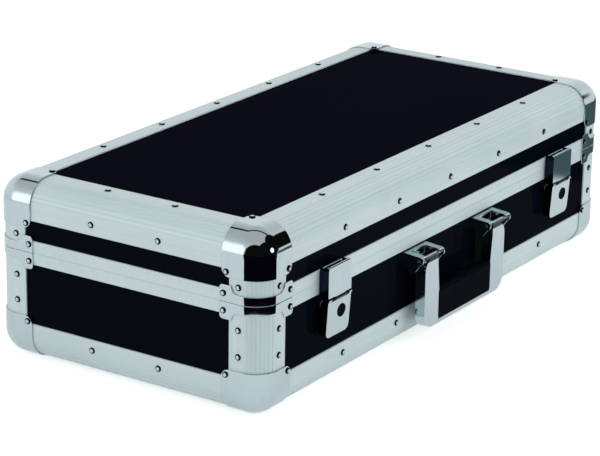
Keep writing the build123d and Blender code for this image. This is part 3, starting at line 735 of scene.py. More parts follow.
def show_softened(node: str, finish: Finish, body: str, slot: str, width: float,
                  segments: int = 2, **more: Any) -> bpy.types.Object:
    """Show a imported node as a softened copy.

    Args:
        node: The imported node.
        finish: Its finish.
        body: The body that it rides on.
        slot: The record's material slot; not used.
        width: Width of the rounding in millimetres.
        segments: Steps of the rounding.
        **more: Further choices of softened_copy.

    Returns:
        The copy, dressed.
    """
    return dress(softened_copy(node, width, segments, **more), finish, body, node)


def coat_faces(piece: bpy.types.Object, finish: Finish, test: FaceTest) -> None:
    """Paint shade on some faces of a dressed piece, as a second finish.

    Args:
        piece: The piece, with its first finish in place.
        finish: The second finish, a dark one that stands in for the shade.
        test: Whether a face takes it, from its middle in millimetres and its direction.
    """
    piece.data.materials.append(material_of(finish))
    index = len(piece.data.materials) - 1
    for polygon in piece.data.polygons:
        if test(polygon.center / MM, polygon.normal):
            polygon.material_index = index


# Geometry trees


@dataclass
class TreeInput:
    """One named input of a geometry tree."""

    name: str
    kind: str
    value: Any = None


class ShapeTree(NodeNet):
    """A geometry tree with named inputs, ready to be put on pieces."""

    def __init__(self, name: str, inputs: Sequence[TreeInput]) -> None:
        """Start a tree.

        Args:
            name: The tree's name.
            inputs: Its inputs after the geometry; the material's comes last by itself.
        """
        tree = bpy.data.node_groups.new(name, "GeometryNodeTree")
        super().__init__(tree)
        for way in ("INPUT", "OUTPUT"):
            tree.interface.new_socket("Geometry", in_out=way, socket_type="NodeSocketGeometry")
        self.identifiers: dict[str, str] = {}
        for entry in (*inputs, TreeInput("Material", "NodeSocketMaterial")):
            socket = tree.interface.new_socket(entry.name, in_out="INPUT", socket_type=entry.kind)
            if entry.value is not None:
                socket.default_value = entry.value
            self.identifiers[entry.name] = socket.identifier
        self.entry = self.node("NodeGroupInput")

    def given(self, name: str) -> Wire:
        """Wire of a named input."""
        return Wire(self, self.entry.outputs[name])

    def close(self, geometry: Wire) -> None:
        """End the tree in real mesh of the given material."""
        real = self.wire("GeometryNodeRealizeInstances", None, {"Geometry": geometry})
        coated = self.wire("GeometryNodeSetMaterial", None,
                           {"Geometry": real, "Material": self.given("Material")})
        self.node("NodeGroupOutput", None, {0: coated})

    def apply(self, piece: bpy.types.Object, finish: Finish, values: dict[str, Any]) -> None:
        """Run the tree on a piece and keep the result as plain mesh.

        Args:
            piece: The piece whose geometry goes in.
            finish: The finish that the tree sets.
            values: Values of the other named inputs.
        """
        modifier = piece.modifiers.new(self.tree.name, "NODES")
        modifier.node_group = self.tree
        for name, value in {**values, "Material": material_of(finish)}.items():
            modifier[self.identifiers[name]] = value
        flatten_modifiers(piece)


class DrawnBarTree(ShapeTree):
    """Draws a flat section out along a straight path into a closed bar."""

    def __init__(self) -> None:
        """Build the tree."""
        super().__init__("drawn_bar", [TreeInput("Travel", "NodeSocketVector", (0.1, 0.0, 0.0))])
        section = self.given("Geometry")
        drawn = self.node("GeometryNodeExtrudeMesh", {"mode": "FACES"},
                          {"Mesh": section, "Offset": self.given("Travel"), "Offset Scale": 1.0,
                           "Individual": False})
        start = self.wire("GeometryNodeFlipFaces", None, {"Mesh": section})
        joined = self.node("GeometryNodeJoinGeometry")
        self.tree.links.new(drawn.outputs["Mesh"], joined.inputs[0])
        self.tree.links.new(start.socket, joined.inputs[0])
        self.close(self.wire("GeometryNodeMergeByDistance", None,
                             {"Geometry": joined.outputs[0], "Distance": CLOSE_DISTANCE}))


class RivetTree(ShapeTree):
    """Sets a domed rivet head on every point, turned to face the way that the point says."""

    def __init__(self) -> None:
        """Build the tree."""
        super().__init__("rivet_heads", [TreeInput("Segments", "NodeSocketInt", 18),
                                         TreeInput("Rings", "NodeSocketInt", 10),
                                         TreeInput("Crown", "NodeSocketFloat", 0.62)])
        ball = self.wire("GeometryNodeMeshUVSphere", None,
                         {"Segments": self.given("Segments"), "Rings": self.given("Rings"),
                          "Radius": 1.0})
        place = self.wire("GeometryNodeInputPosition")
        rise = self.part(place, "Z")
        lifted = self.maths("MAXIMUM", rise, 0.0) ** self.given("Crown")
        domed = self.wire("ShaderNodeCombineXYZ", None,
                          {"X": self.part(place, "X"), "Y": self.part(place, "Y"), "Z": lifted})
        flat = self.wire("GeometryNodeSetPosition", None, {"Geometry": ball, "Position": domed})
        # The height on the ball, which the rivet finish reads to place its painted shade.
        head = self.wire("GeometryNodeStoreNamedAttribute",
                         {"data_type": "FLOAT", "domain": "POINT"},
                         {"Geometry": flat, "Name": "rise", "Value": rise})
        smooth = self.wire("GeometryNodeSetShadeSmooth", None,
                           {"Geometry": head, "Shade Smooth": True})
        facing, size = (self.wire("GeometryNodeInputNamedAttribute", {"data_type": "FLOAT_VECTOR"},
                                  {"Name": name}, "Attribute") for name in ("facing", "size"))
        turned = self.wire("FunctionNodeAlignRotationToVector", {"axis": "Z"}, {"Vector": facing})
        self.close(self.wire("GeometryNodeInstanceOnPoints", None,
                             {"Points": self.given("Geometry"), "Instance": smooth,
                              "Rotation": turned, "Scale": size}))


bar_tree = DrawnBarTree()
rivet_tree = RivetTree()


# The case's sizes


@dataclass(frozen=True)
class CaseSizes:
    """Sizes that several sub-assemblies share, in millimetres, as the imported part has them."""

    length: float = 655.0
    width: float = 310.0
    base_height: float = 109.5
    lid_height: float = 68.5
    bottom: float = 1.4
    middle_y: float = 4.3075
    sheet: float = 1.5
    panel_thickness: float = 7.0
    edge_leg: float = 37.0
    edge_radius: float = 24.5
    closure_height: float = 11.8
    closure_lap: float = 1.5
    rim_gap: float = 0.3

    @property
    def half_length(self) -> float:
        """Half of the length."""
        return self.length / 2

    @property
    def half_width(self) -> float:
        """Half of the width."""
        return self.width / 2

    @property
    def parting(self) -> float:
        """Height of the parting line."""
        return self.bottom + self.base_height

    @property
    def top(self) -> float:
        """Height of the lid's aluminium."""
        return self.parting + self.lid_height

    @property
    def panel_inner(self) -> float:
        """Outer face of the case to the inner face of a panel."""
        return self.sheet + self.panel_thickness

    def outer(self, level: Level) -> float:
        """Height of the outer face of a half."""
        return self.top if level is Level.LID else self.bottom

    def rim(self, level: Level) -> float:
        """Height of the rim of a half."""
        return self.parting + level.value * self.rim_gap / 2

    def reach(self, side: Side) -> float:
        """Half of the length that a wall runs."""
        return self.half_width if side.value[0] else self.half_length

    def wall_point(self, side: Side, across: float, height: float, out: float = 0.0) -> Vector:
        """Point on a wall.

        Args:
            side: The wall.
            across: Distance from its middle, along +X or +Y.
            height: Height above the floor.
            out: Distance out from the wall.

        Returns:
            The point.
        """
        nx, ny = side.value
        if nx:
            return Vector((nx * (self.half_length + out), self.middle_y + across, height))
        return Vector((across, self.middle_y + ny * (self.half_width + out), height))

    def corner_point(self, sx: int, sy: int, height: float, out: float = 0.0) -> Vector:
        """Point on an upright corner.

        Args:
            sx: Side of the corner along X, -1 or 1.
            sy: Side of the corner along Y, -1 or 1.
            height: Height above the floor.
            out: Distance out from both walls; a negative one leads inwards.

        Returns:
            The point.
        """
        return Vector((sx * (self.half_length + out), self.middle_y + sy * (self.half_width + out),
                       height))


sizes = CaseSizes()
CORNERS = [(sx, sy) for sx in (-1, 1) for sy in (-1, 1)]


def arc(centre: Point, radius: float, start: float, stop: float, steps: int) -> list[Point]:
    """Points of an arc, both ends among them.

    Args:
        centre: Its centre.
        radius: Its radius.
        start: First angle in degrees.
        stop: Last angle in degrees.
        steps: Number of chords.

    Returns:
        The points.
    """
    turns = [math.radians(start + (stop - start) * step / steps) for step in range(steps + 1)]
    return [(centre[0] + radius * math.cos(turn), centre[1] + radius * math.sin(turn))
            for turn in turns]


def drawn_bar(name: str, outline: Sequence[Vector], travel: Vector,
              finish: Finish) -> bpy.types.Object:
    """Draw a closed outline out along a straight path.

    Args:
        name: The object's name.
        outline: Corners of the section in millimetres, in place.
        travel: The path, in millimetres.
        finish: The finish that the tree sets.

    Returns:
        A closed bar.
    """
    bar = new_object(name, outline, [range(len(outline))])
    bar_tree.apply(bar, finish, {"Travel": tuple(travel * MM)})
    face_outwards(bar.data)
    return bar


# Sub-assemblies


@dataclass
class EdgeTrim:
    """Round-edged extrusions with their grooves, and the upright posts."""

    groove_count: int = 7
    groove_width: float = 0.9
    groove_depth: float = 0.35
    groove_margin: float = 16.0
    groove_profile: tuple[Point, ...] = ((-1.0, 0.0), (-0.72, 0.8), (-0.3, 1.0),
                                         (0.3, 1.0), (0.72, 0.8), (1.0, 0.0))
    steps_between: int = 5
    lip: float = 0.4
    smooth_angle: float = 28.0

    def outer_arc(self) -> list[Point]:
        """Grooved rounding, from the first leg to the second, as distances from the corner."""
        radius, margin = sizes.edge_radius, self.groove_margin
        pitch = (90 - 2 * margin) / (self.groove_count - 1)
        half = math.degrees(self.groove_width / 2 / radius)
        marks: list[Point] = [(0.0, 0.0), (margin / 3, 0.0), (2 * margin / 3, 0.0)]
        for index in range(self.groove_count):
            middle = margin + index * pitch
            marks += [(middle + share * half, depth) for share, depth in self.groove_profile]
            if index < self.groove_count - 1:
                gap = pitch - 2 * half
                marks += [(middle + half + gap * step / self.steps_between, 0.0)
                          for step in range(1, self.steps_between)]
        marks += [(90 - 2 * margin / 3, 0.0), (90 - margin / 3, 0.0), (90.0, 0.0)]
        points = []
        for turn, sunk in marks:
            reach = radius - sunk * self.groove_depth
            points.append((radius - reach * math.cos(math.radians(turn)),
                           radius - reach * math.sin(math.radians(turn))))
        return points

    def section(self) -> list[Point]:
        """Closed section of the extrusion, as distances from the case's sharp corner."""
        leg, sheet, lip = sizes.edge_leg, sizes.sheet, self.lip
        radius, inner = sizes.edge_radius, sizes.panel_inner
        return ([(lip, leg), (0, leg - lip)] + self.outer_arc() + [(leg - lip, 0), (leg, lip)]
                + [(leg, sheet), (radius, sheet), (radius, inner), (inner, inner), (inner, radius),
                   (sheet, radius), (sheet, leg)])

    def neck(self) -> list[Point]:
        """Section of a post's end, where only its round runs on to the rim."""
        inner, radius = sizes.panel_inner, sizes.edge_radius
        return self.outer_arc() + [(radius, inner), (inner, inner), (inner, radius)]

    def placed(self, section: Sequence[Point], corner: Vector, first: Vector,
               second: Vector) -> list[Vector]:
        """Section placed at a corner, with the two directions that lead inwards from it."""
        return [corner + first * a + second * b for a, b in section]

    def edge(self, level: Level, side: Side) -> None:
        """Build one horizontal extrusion."""
        nx, ny = side.value
        reach = sizes.half_width - sizes.edge_leg if nx else sizes.half_length - sizes.edge_radius
        corner = sizes.wall_point(side, 0, sizes.outer(level)) - side.path * reach
        outline = self.placed(self.section(), corner, Vector((-nx, -ny, 0)),
                              Vector((0, 0, -level.value)))
        finish = ALUMINIUM_Y if nx else ALUMINIUM_X
        place = side.name.lower()
        bar = drawn_bar(f"{level.prefix}_trim_{place}", outline, side.path * 2 * reach, finish)
        smooth_by_angle(bar, self.smooth_angle)
        dress(bar, finish, level.body, f"{level.prefix}_edge_{place}")

    def posts(self, level: Level) -> None:
        """Build the four posts of a half."""
        outer = sizes.outer(level) - level.value * sizes.edge_leg
        rim = sizes.rim(level)
        leg_end = rim + level.value * sizes.sheet
        runs = ((self.section(), outer, leg_end), (self.neck(), leg_end, rim))
        bars = []
        for sx, sy in CORNERS:
            for section, start, stop in runs:
                outline = self.placed(section, sizes.corner_point(sx, sy, start),
                                      Vector((-sx, 0, 0)), Vector((0, -sy, 0)))
                bars.append(drawn_bar("post", outline, Vector((0, 0, stop - start)), ALUMINIUM_Z))
        whole = merge_pieces(f"{level.prefix}_posts", bars)
        smooth_by_angle(whole, self.smooth_angle)
        dress(whole, ALUMINIUM_Z, level.body, f"{level.prefix}_corner_posts")

    def build(self) -> None:
        """Build every extrusion."""
        for level in Level:
            for side in Side:
                self.edge(level, side)
            self.posts(level)


@dataclass
class ClosureStrips:
    """Strips along both rims, with the tongue of the base and the groove of the lid."""

    tongue_inset: float = 4.2
    tongue_width: float = 1.6
    tongue_height: float = 3.0
    tongue_break: float = 0.4
    tongue_play: float = 0.8
    groove_head: float = 0.6
    leg_break: float = 0.3
    lip: float = 0.12
    gap: float = 0.16
    smooth_angle: float = 20.0

    def section(self, level: Level) -> list[Point]:
        """Section of a strip, as distance in from the wall and height over the parting line."""
        high, gap, sheet, lip = sizes.closure_height, self.gap / 2, sizes.sheet, self.lip
        inner, lapped = sizes.panel_inner, sizes.panel_inner + sizes.closure_lap
        inset, tall = self.tongue_inset, self.tongue_height
        end, tip, foot = inset + self.tongue_width, self.tongue_break, self.leg_break
        if level is Level.BASE:
            return [(foot, -high), (0, -high + foot), (0, -gap - lip), (lip, -gap), (inset, -gap),
                    (inset, tall - tip), (inset + tip, tall), (end - tip, tall), (end, tall - tip),
                    (end, -gap), (lapped, -gap), (lapped, -high), (inner, -high),
                    (inner, -gap - sheet), (sheet, -gap - sheet), (sheet, -high)]
        start, stop = inset - self.tongue_play, end + self.tongue_play
        head = tall + self.groove_head
        return [(foot, high), (0, high - foot), (0, gap + lip), (lip, gap), (start, gap),
                (start, head), (stop, head), (stop, gap), (lapped, gap), (lapped, high),
                (inner, high), (inner, head + sheet), (sheet, head + sheet), (sheet, high)]

    def end_section(self, level: Level) -> list[Point]:
        """Section beside a post, where the post's leg takes the place of the outer wall."""
        wall = level.value * (sizes.rim_gap / 2 + sizes.sheet)
        return [(0.0, wall)] + self.section(level)[2:-2] + [(sizes.panel_inner, wall)]

    def strips(self, level: Level) -> None:
        """Build the four strips of a half."""
        bars = []
        for side in Side:
            nx, ny = side.value
            inner, outer = sizes.reach(side) - sizes.edge_leg, sizes.reach(side) - sizes.edge_radius
            for section, start, stop in ((self.section(level), -inner, inner),
                                         (self.end_section(level), -outer, -inner),
                                         (self.end_section(level), inner, outer)):
                origin = sizes.wall_point(side, 0, sizes.parting) + side.path * start
                outline = [origin + Vector((-nx * a, -ny * a, b)) for a, b in section]
                bars.append(drawn_bar("strip", outline, side.path * (stop - start), ALUMINIUM_X))
        whole = merge_pieces(f"{level.prefix}_rim_strips", bars)
        smooth_by_angle(whole, self.smooth_angle)
        dress(whole, ALUMINIUM_X, level.body, f"{level.prefix}_closure_strips")

    def build(self) -> None:
        """Build the strips of both halves."""
        for level in Level:
            self.strips(level)


@dataclass
class BallCorners:
    """Formed sheet corners: three plates with rounded tips that run into a ball."""

    thickness: float = 1.4
    play: float = 0.02
    reach: float = 44.6
    tip_radius: float = 8.5
    ball_steps: int = 18
    tip_steps: int = 6
    rim: float = 0.45
    rim_steps: int = 3

    def shell(self) -> tuple[list[Place], list[list[int]]]:
        """Outer skin in distances inwards from its three outer planes.

        Returns:
            Points and faces, with doubles along the seams.
        """
        radius = sizes.edge_radius + self.thickness
        size = self.reach + self.thickness
        steps = self.ball_steps
        points: list[Place] = []
        faces: list[list[int]] = []

        def put(values: Sequence[float], turn: int) -> int:
            """Add a point with its axes turned, and return its number."""
            points.append(tuple(values[(axis - turn) % 3] for axis in range(3)))
            return len(points) - 1

        profile = [(radius - b, radius - c) for b, c in arc((0, 0), radius, 0, 90, steps)]
        for turn in range(3):
            tip = size - self.tip_radius
            outline = [(radius, radius), (size, radius)]
            outline += arc((tip, tip), self.tip_radius, 0, 90, self.tip_steps)
            outline.append((radius, size))
            faces.append([put((a, b, 0), turn) for a, b in outline])
            for first, second in zip(profile, profile[1:]):
                faces.append([put((radius, *first), turn), put((size, *first), turn),
                              put((size, *second), turn), put((radius, *second), turn)])
        rows = []
        for i in range(steps + 1):
            row = []
            for j in range(steps + 1 - i):
                shares = [math.sin(math.pi / 2 * k / steps) for k in (i, j, steps - i - j)]
                row.append(put([radius - radius * w for w in Vector(shares).normalized()], 0))
            rows.append(row)
        for i in range(steps):
            for j in range(steps - i):
                faces.append([rows[i][j], rows[i + 1][j], rows[i][j + 1]])
                if j < steps - i - 1:
                    faces.append([rows[i + 1][j], rows[i + 1][j + 1], rows[i][j + 1]])
        return points, faces

    def corner(self, level: Level, sx: int, sy: int) -> None:
        """Build one ball corner."""
        points, faces = self.shell()
        inwards = Vector((-sx, -sy, -level.value))
        tip = sizes.corner_point(sx, sy, sizes.outer(level) + level.value * self.thickness,
                                 self.thickness)
        placed = [tip + inwards * Vector(point) for point in points]
        ends = f"{'front' if sy < 0 else 'back'}_{'left' if sx < 0 else 'right'}"
        piece = formed_sheet(f"{level.prefix}_ball_{ends}", placed, faces,
                             tip + inwards * (3 * self.reach), self.thickness - self.play)
        round_edges(piece, self.rim, self.rim_steps, SHEET_EDGE_ANGLE)
        dress(piece, CORNER_CHROME, level.body,
              f"{level.prefix}_ball_corner_{ends}")

    def build(self) -> None:
        """Build the eight corners."""
        for level in Level:
            for sx, sy in CORNERS:
                self.corner(level, sx, sy)


@dataclass
class CornerBraces:
    """Chromed straps bent round the four corners along a rim."""

    thickness: float = 1.2
    play: float = 0.1
    reach: float = 46.7
    height: float = 16.4
    bend_height: float = 8.6
    window: float = 33.6
    hollow: float = 8.0
    end_radius: float = 3.4
    rim_radius: float = 0.8
    hollow_turns: Point = (-14.0, -90.0)
    hollow_steps: int = 8
    end_steps: int = 5
    rim_steps: int = 3
    bend_steps: int = 18
    rounding: float = 0.4

    def ear(self, radius: float, size: float, window: float) -> list[Point]:
        """Outline of the strap on one wall, from its bend outwards and back."""
        rim, end, hollow = self.rim_radius, self.end_radius, self.hollow
        foot = arc((size - rim, rim), rim, -90, 0, self.rim_steps)
        top = arc((size - end, self.height - end), end, 0, 90, self.end_steps)
        inside = arc((window - hollow, self.bend_height + hollow), hollow, *self.hollow_turns,
                     self.hollow_steps)
        return [(radius, 0.0), *foot, *top, (window, self.height), *inside[1:],
                (radius, self.bend_height)]

    def strap(self, level: Level, sx: int, sy: int) -> bpy.types.Object:
        """One strap, as sheet."""
        off, rise = self.thickness + self.play, float(level.value)
        radius, size = sizes.edge_radius + off, self.reach + off
        ear = self.ear(radius, size, self.window + off)
        points = [(a, 0.0, rise * z) for a, z in ear] + [(0.0, a, rise * z) for a, z in ear]
        faces = [list(range(len(ear))), list(range(len(ear), len(points)))]
        start = len(points)
        for a, b in arc((0, 0), radius, 0, 90, self.bend_steps):
            points += [(radius - a, radius - b, z) for z in (0.0, rise * self.bend_height)]
        faces += [[start + 2 * k, start + 2 * k + 1, start + 2 * k + 3, start + 2 * k + 2]
                  for k in range(self.bend_steps)]
        corner = sizes.corner_point(sx, sy, sizes.rim(level), off)
        placed = [corner + Vector((-sx * a, -sy * b, z)) for a, b, z in points]
        middle = corner - Vector((sx * 3 * size, sy * 3 * size, 0))
        piece = formed_sheet("strap", placed, faces, middle, self.thickness)
        round_edges(piece, self.rounding, angle=SHEET_EDGE_ANGLE)
        return piece

    def build(self) -> None:
        """Build the straps of both halves."""
        for level in Level:
            straps = [self.strap(level, *ends) for ends in CORNERS]
            whole = merge_pieces(f"{level.prefix}_straps", straps)
            dress(whole, CORNER_CHROME, level.body,
                  f"{level.prefix}_corner_braces")


@dataclass
class Rivets:
    """Domed rivet heads along the trim, on the ball corners and on the straps."""

    diameter: float = 6.4
    height: float = 1.5
    under_height: float = 1.0
    under_corner_height: float = 1.1
    inset: float = 26.5
    long_pitch: float = 96.2
    long_count: int = 5
    short_pitch: float = 77.5
    short_count: int = 2
    corner_inset: float = 39.4
    brace_inset: float = 42.4
    post_heights: tuple[float, ...] = (58.7, 84.5)
    lid_post_drop: float = 52.4
    segments: int = 18
    rings: int = 10
    crown: float = 0.72

    def row(self, side: Side) -> list[float]:
        """Places along a wall's trim."""
        count, pitch = ((self.short_count, self.short_pitch) if side.value[0]
                        else (self.long_count, self.long_pitch))
        return [(index - (count - 1) / 2) * pitch for index in range(count)]

    def wall_heads(self, level: Level, side: Side) -> list[tuple[Vector, Vector, float]]:
        """Place, direction and height of every head on a wall of a half."""
        outer, reach = sizes.outer(level), sizes.reach(side)
        spots = [(across, outer - level.value * self.inset, 0.0) for across in self.row(side)]
        posts = ([sizes.bottom + height for height in self.post_heights] if level is Level.BASE
                 else [sizes.top - self.lid_post_drop])
        for end in (-1, 1):
            spots += [(end * (reach - self.inset), height, 0.0) for height in posts]
            spots.append((end * (reach - self.corner_inset),
                          outer - level.value * self.corner_inset, BallCorners.thickness))
            spots.append((end * (reach - self.brace_inset),
                          sizes.rim(level) + level.value * CornerBraces.height / 2,
                          CornerBraces.thickness + CornerBraces.play))
        facing = Vector((*side.value, 0))
        return [(sizes.wall_point(side, *spot), facing, self.height) for spot in spots]

    def flat_heads(self, level: Level) -> list[tuple[Vector, Vector, float]]:
        """Place, direction and height of every head on the flat face of a half."""
        outer, up = sizes.outer(level), Vector((0, 0, level.value))
        at_top = level is Level.LID
        head, corner_head = ((self.height, self.height) if at_top
                             else (self.under_height, self.under_corner_height))
        lift = level.value * (BallCorners.thickness if at_top else 0.0)
        found = [(sizes.wall_point(side, across, outer, -self.inset), up, head)
                 for side in Side for across in self.row(side)]
        found += [(sizes.corner_point(sx, sy, outer + lift, -self.corner_inset), up, corner_head)
                  for sx, sy in CORNERS]
        return found

    def build(self) -> None:
        """Build the heads of both halves."""
        for level in Level:
            heads = [head for side in Side for head in self.wall_heads(level, side)]
            heads += self.flat_heads(level)
            piece = new_object(f"{level.prefix}_rivet_heads", [place for place, _, _ in heads], [])
            facing, size = (piece.data.attributes.new(name, "FLOAT_VECTOR", "POINT")
                            for name in ("facing", "size"))
            half = self.diameter / 2
            for index, (_, direction, height) in enumerate(heads):
                facing.data[index].vector = direction
                size.data[index].vector = Vector((half, half, height)) * MM
            rivet_tree.apply(piece, RIVET_STEEL,
                             {"Segments": self.segments, "Rings": self.rings, "Crown": self.crown})
            dress(piece, RIVET_STEEL, level.body, f"{level.prefix}_rivets")


@dataclass
class Panels:
    """Laminated panels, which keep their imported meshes."""

    top: str = "lid_panel_top"

    def build(self) -> None:
        """Dress every panel."""
        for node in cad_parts:
            if "panel" in node:
                paint_node(node, TOP_LAMINATE if node == self.top else PANEL_LAMINATE)


@dataclass
class DrawLatches:
    """The two draw latches with their locks, strikes and pins."""

    sheet_round: float = 0.4
    sheet_steps: int = 3
    fold_round: float = 1.15
    corner_round: float = 4.6
    corner_steps: int = 8
    base_round: float = 0.3
    barrel_round: float = 0.2
    plug_round: float = 0.15
    spacing: float = 434.0
    width: float = 38.8
    front_top: float = 94.2
    notch_half: float = 15.0
    notch_depth: float = 2.3
    notch_reach: float = 1.3
    notch_margin: Point = (0.2, 0.1)
    knuckle_top: float = 2.25
    flank_edge: float = 0.6
    flank_length: float = 4.0
    flank_facing: float = 0.85
    past: float = 1.0

    def leaf(self, kind: str, side: str, middle: float) -> None:
        """Build one folded sheet: a lever with its notch, or a hasp with its rounded corners."""
        node = f"latch_{kind}_{side}"
        low, high = (Vector(corner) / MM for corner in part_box(node))
        halfway = (low.y + high.y) / 2
        if kind == "lever":
            cutter = block("notch", (middle - self.notch_half, low.y - self.past,
                                     self.front_top - self.notch_depth),
                           (middle + self.notch_half, low.y + self.notch_reach,
                            self.front_top + self.past))
        else:
            cutter = merge_pieces("corners", [self.corner_cutter(middle, end, low, high)
                                              for end in (-1, 1)])

        def fold(first: Vector, second: Vector) -> float:
            """Width of an edge's rounding, larger along the folds."""
            at_side = (min(abs(first.x - middle), abs(second.x - middle))
                       > self.width / 2 - self.flank_edge)
            upright = abs(first.z - second.z) > self.flank_length
            outside = max(first.y, second.y) < halfway
            return self.fold_round if at_side and upright and outside else 0.0

        piece = show_softened(node, FITTING_CHROME, f"{kind}_{side}", "chrome_fittings",
                              self.sheet_round, self.sheet_steps, extra=fold, cutter=cutter)
        # Painted shade: dark chrome on the flanks, for the dark panel that they mirror, and on the
        # knuckle in the notch.
        coat_faces(piece, SHADED_CHROME, lambda place, normal: self.is_dark(place, normal, middle))

    def corner_cutter(self, middle: float, end: int, low: Vector, high: Vector) -> bpy.types.Object:
        """Shape that takes a hasp's upper corner down to its rounding."""
        radius, past, edge = self.corner_round, self.past, self.width / 2
        outline = [(edge + past, high.z + past), (edge - radius, high.z + past)]
        outline += arc((edge - radius, high.z - radius), radius, 90, 0, self.corner_steps)
        outline.append((edge + past, high.z - radius))
        placed = [Vector((middle + end * a, low.y - past, z)) for a, z in outline]
        run = Vector((0, high.y - low.y + 2 * past, 0))
        return drawn_bar("corner", placed, run, FITTING_CHROME)

    def is_dark(self, place: Vector, normal: Vector, middle: float) -> bool:
        """Whether a face of a leaf takes painted shade: a painted dark reflection on its flank, and
        painted shade on the knuckle in the notch.
        """
        across, deep = self.notch_margin
        in_notch = (abs(place.x - middle) < self.notch_half + across
                    and -self.notch_depth - deep < place.z - self.front_top < self.knuckle_top)
        return abs(normal.x) > self.flank_facing or in_notch

    def build(self) -> None:
        """Build both latches."""
        for side, sign in (("left", -1), ("right", 1)):
            for kind in ("lever", "hasp"):
                self.leaf(kind, side, sign * self.spacing / 2)
            show_softened(f"latch_base_{side}", FITTING_CHROME, "root", "chrome_fittings",
                          self.base_round)
            show_softened(f"lock_barrel_{side}", LOCK_BLACK, f"lever_{side}", "lock_black",
                          self.barrel_round)
            show_softened(f"key_plug_{side}", PLUG_DARK, f"key_plug_{side}", "plug_dark",
                          self.plug_round)
            # Painted shade: the link pin, seen through the notch, takes the dark chrome.
            paint_node(f"link_pin_{side}", SHADED_CHROME)
        show_softened("latch_strikes", FITTING_CHROME, "lid", "chrome_fittings", self.base_round)
        paint_node("latch_pivot_pins", PIN_STEEL)


@dataclass
class DropHandle:
    """The chromed frame with its black grip, and the two brackets."""

    shaded_from: float = 87.2
    facing_up: float = 0.3
    bow_round: float = 0.9
    grip_round: float = 0.8
    bracket_round: float = 0.4
    steps: int = 3

    def is_shaded(self, place: Vector, normal: Vector) -> bool:
        """Whether a face of the bow lies in the shade of the brackets."""
        return place.z > self.shaded_from and normal.z < self.facing_up

    def build(self) -> None:
        """Build the handle."""
        bow = show_softened("handle_frame", FITTING_CHROME, "handle", "chrome_fittings",
                            self.bow_round, self.steps, split=self.shaded_from)
        # Painted shade: the bow's faces under the brackets take the dark chrome.
        coat_faces(bow, SHADED_CHROME, self.is_shaded)
        show_softened("handle_grip", GRIP_PLASTIC, "handle", "grip_plastic", self.grip_round,
                      self.steps)
        for side in ("left", "right"):
            show_softened(f"handle_bracket_{side}", FITTING_CHROME, "root", "chrome_fittings",
                          self.bracket_round)
        paint_node("handle_pins", PIN_STEEL)


@dataclass
class BackHinges:
    """The two hinges at the back."""

    leaf_round: float = 0.35

    def build(self) -> None:
        """Build the hinges."""
        for level in Level:
            show_softened(f"hinge_leaves_{level.prefix}", HINGE_STEEL, level.body, "hinge_steel",
                          self.leaf_round)
        paint_node("hinge_pins", PIN_STEEL)


@dataclass
class Interior:
    """Lining tray, the board between the rows and the foam pad of the lid."""

    pad_thickness: float = 8.0
    pad_play: float = 1.0
    pad_radius: float = 10.0
    columns: int = 96
    rows: int = 44
    edge_run: float = 7.0
    edge_fall: float = 2.6
    face_lift: float = 0.3
    wave_height: float = 0.25
    wave_lengths: Point = (41.0, 33.0)
    smooth_angle: float = 60.0

    def pad_point(self, u: float, v: float, layer: int) -> Place:
        """Point of the pad.

        Args:
            u: Place along its length, -1 to 1.
            v: Place along its width, -1 to 1.
            layer: 0 for the glued face, 1 for the open one.

        Returns:
            The point, in millimetres.
        """
        half_x = sizes.half_length - sizes.panel_inner - self.pad_play
        half_y = sizes.half_width - sizes.panel_inner - self.pad_play
        x, y, z = u * half_x, v * half_y, sizes.top - sizes.panel_inner
        over_x = max(abs(x) - (half_x - self.pad_radius), 0)
        over_y = max(abs(y) - (half_y - self.pad_radius), 0)
        reach = math.hypot(over_x, over_y)
        if reach > self.pad_radius:
            share = self.pad_radius / reach
            x = math.copysign(half_x - self.pad_radius + over_x * share, x)
            y = math.copysign(half_y - self.pad_radius + over_y * share, y)
        if layer:
            edge = min(half_x - abs(x), half_y - abs(y))
            fall = max(0.0, 1 - edge / self.edge_run) ** 2
            long, short = self.wave_lengths
            wave = self.wave_height * math.sin(x / long) * math.sin(y / short)
            z += self.edge_fall * fall + self.face_lift + wave - self.pad_thickness
        return x, sizes.middle_y + y, z

    def pad(self) -> None:
        """Build the foam sheet in the lid, with soft edges and a slightly uneven face."""
        columns, rows = self.columns, self.rows
        points = [self.pad_point(2 * column / columns - 1, 2 * row / rows - 1, layer)
                  for layer in (0, 1) for row in range(rows + 1) for column in range(columns + 1)]
        wide = columns + 1
        count = wide * (rows + 1)
        faces = []
        for row in range(rows):
            for column in range(columns):
                a = row * wide + column
                faces.append([a, a + 1, a + wide + 1, a + wide])
                faces.append([count + a, count + a + wide, count + a + wide + 1, count + a + 1])
        ring = list(range(columns)) + [row * wide + columns for row in range(rows)]
        ring += [rows * wide + column for column in range(columns, 0, -1)]
        ring += [row * wide for row in range(rows, 0, -1)]
        for here, there in zip(ring, ring[1:] + ring[:1]):
            faces.append([here, there, count + there, count + here])
        piece = new_object("lid_foam_pad", points, faces)
        face_outwards(piece.data)
        smooth_by_angle(piece, self.smooth_angle)
        dress(piece, LID_FOAM, "lid", "lid_pad")

    def build(self) -> None:
        """Build the inside."""
        self.pad()
        paint_node("base_lining", LINING_PILE)
        paint_node("row_divider", BOARD_COVER)


@dataclass(frozen=True)
class RoomPatch:
    """Soft round patch of the room that the chrome shows, with its sizes in degrees."""

    bearing: float
    rise: float
    outer: float
    inner: float
    strength: float = 1.0

    def wire(self, net: NodeNet, way: Wire) -> Wire:
        """Strength of the patch in the direction looked in, whole at its middle."""
        around, up = math.radians(self.bearing), math.radians(self.rise)
        flat = math.cos(up)
        towards = Vector((flat * math.cos(around), flat * math.sin(around), math.sin(up)))
        outer, inner = (math.cos(math.radians(angle)) for angle in (self.outer, self.inner))
        return net.step(net.along(way, towards), outer, inner) * self.strength


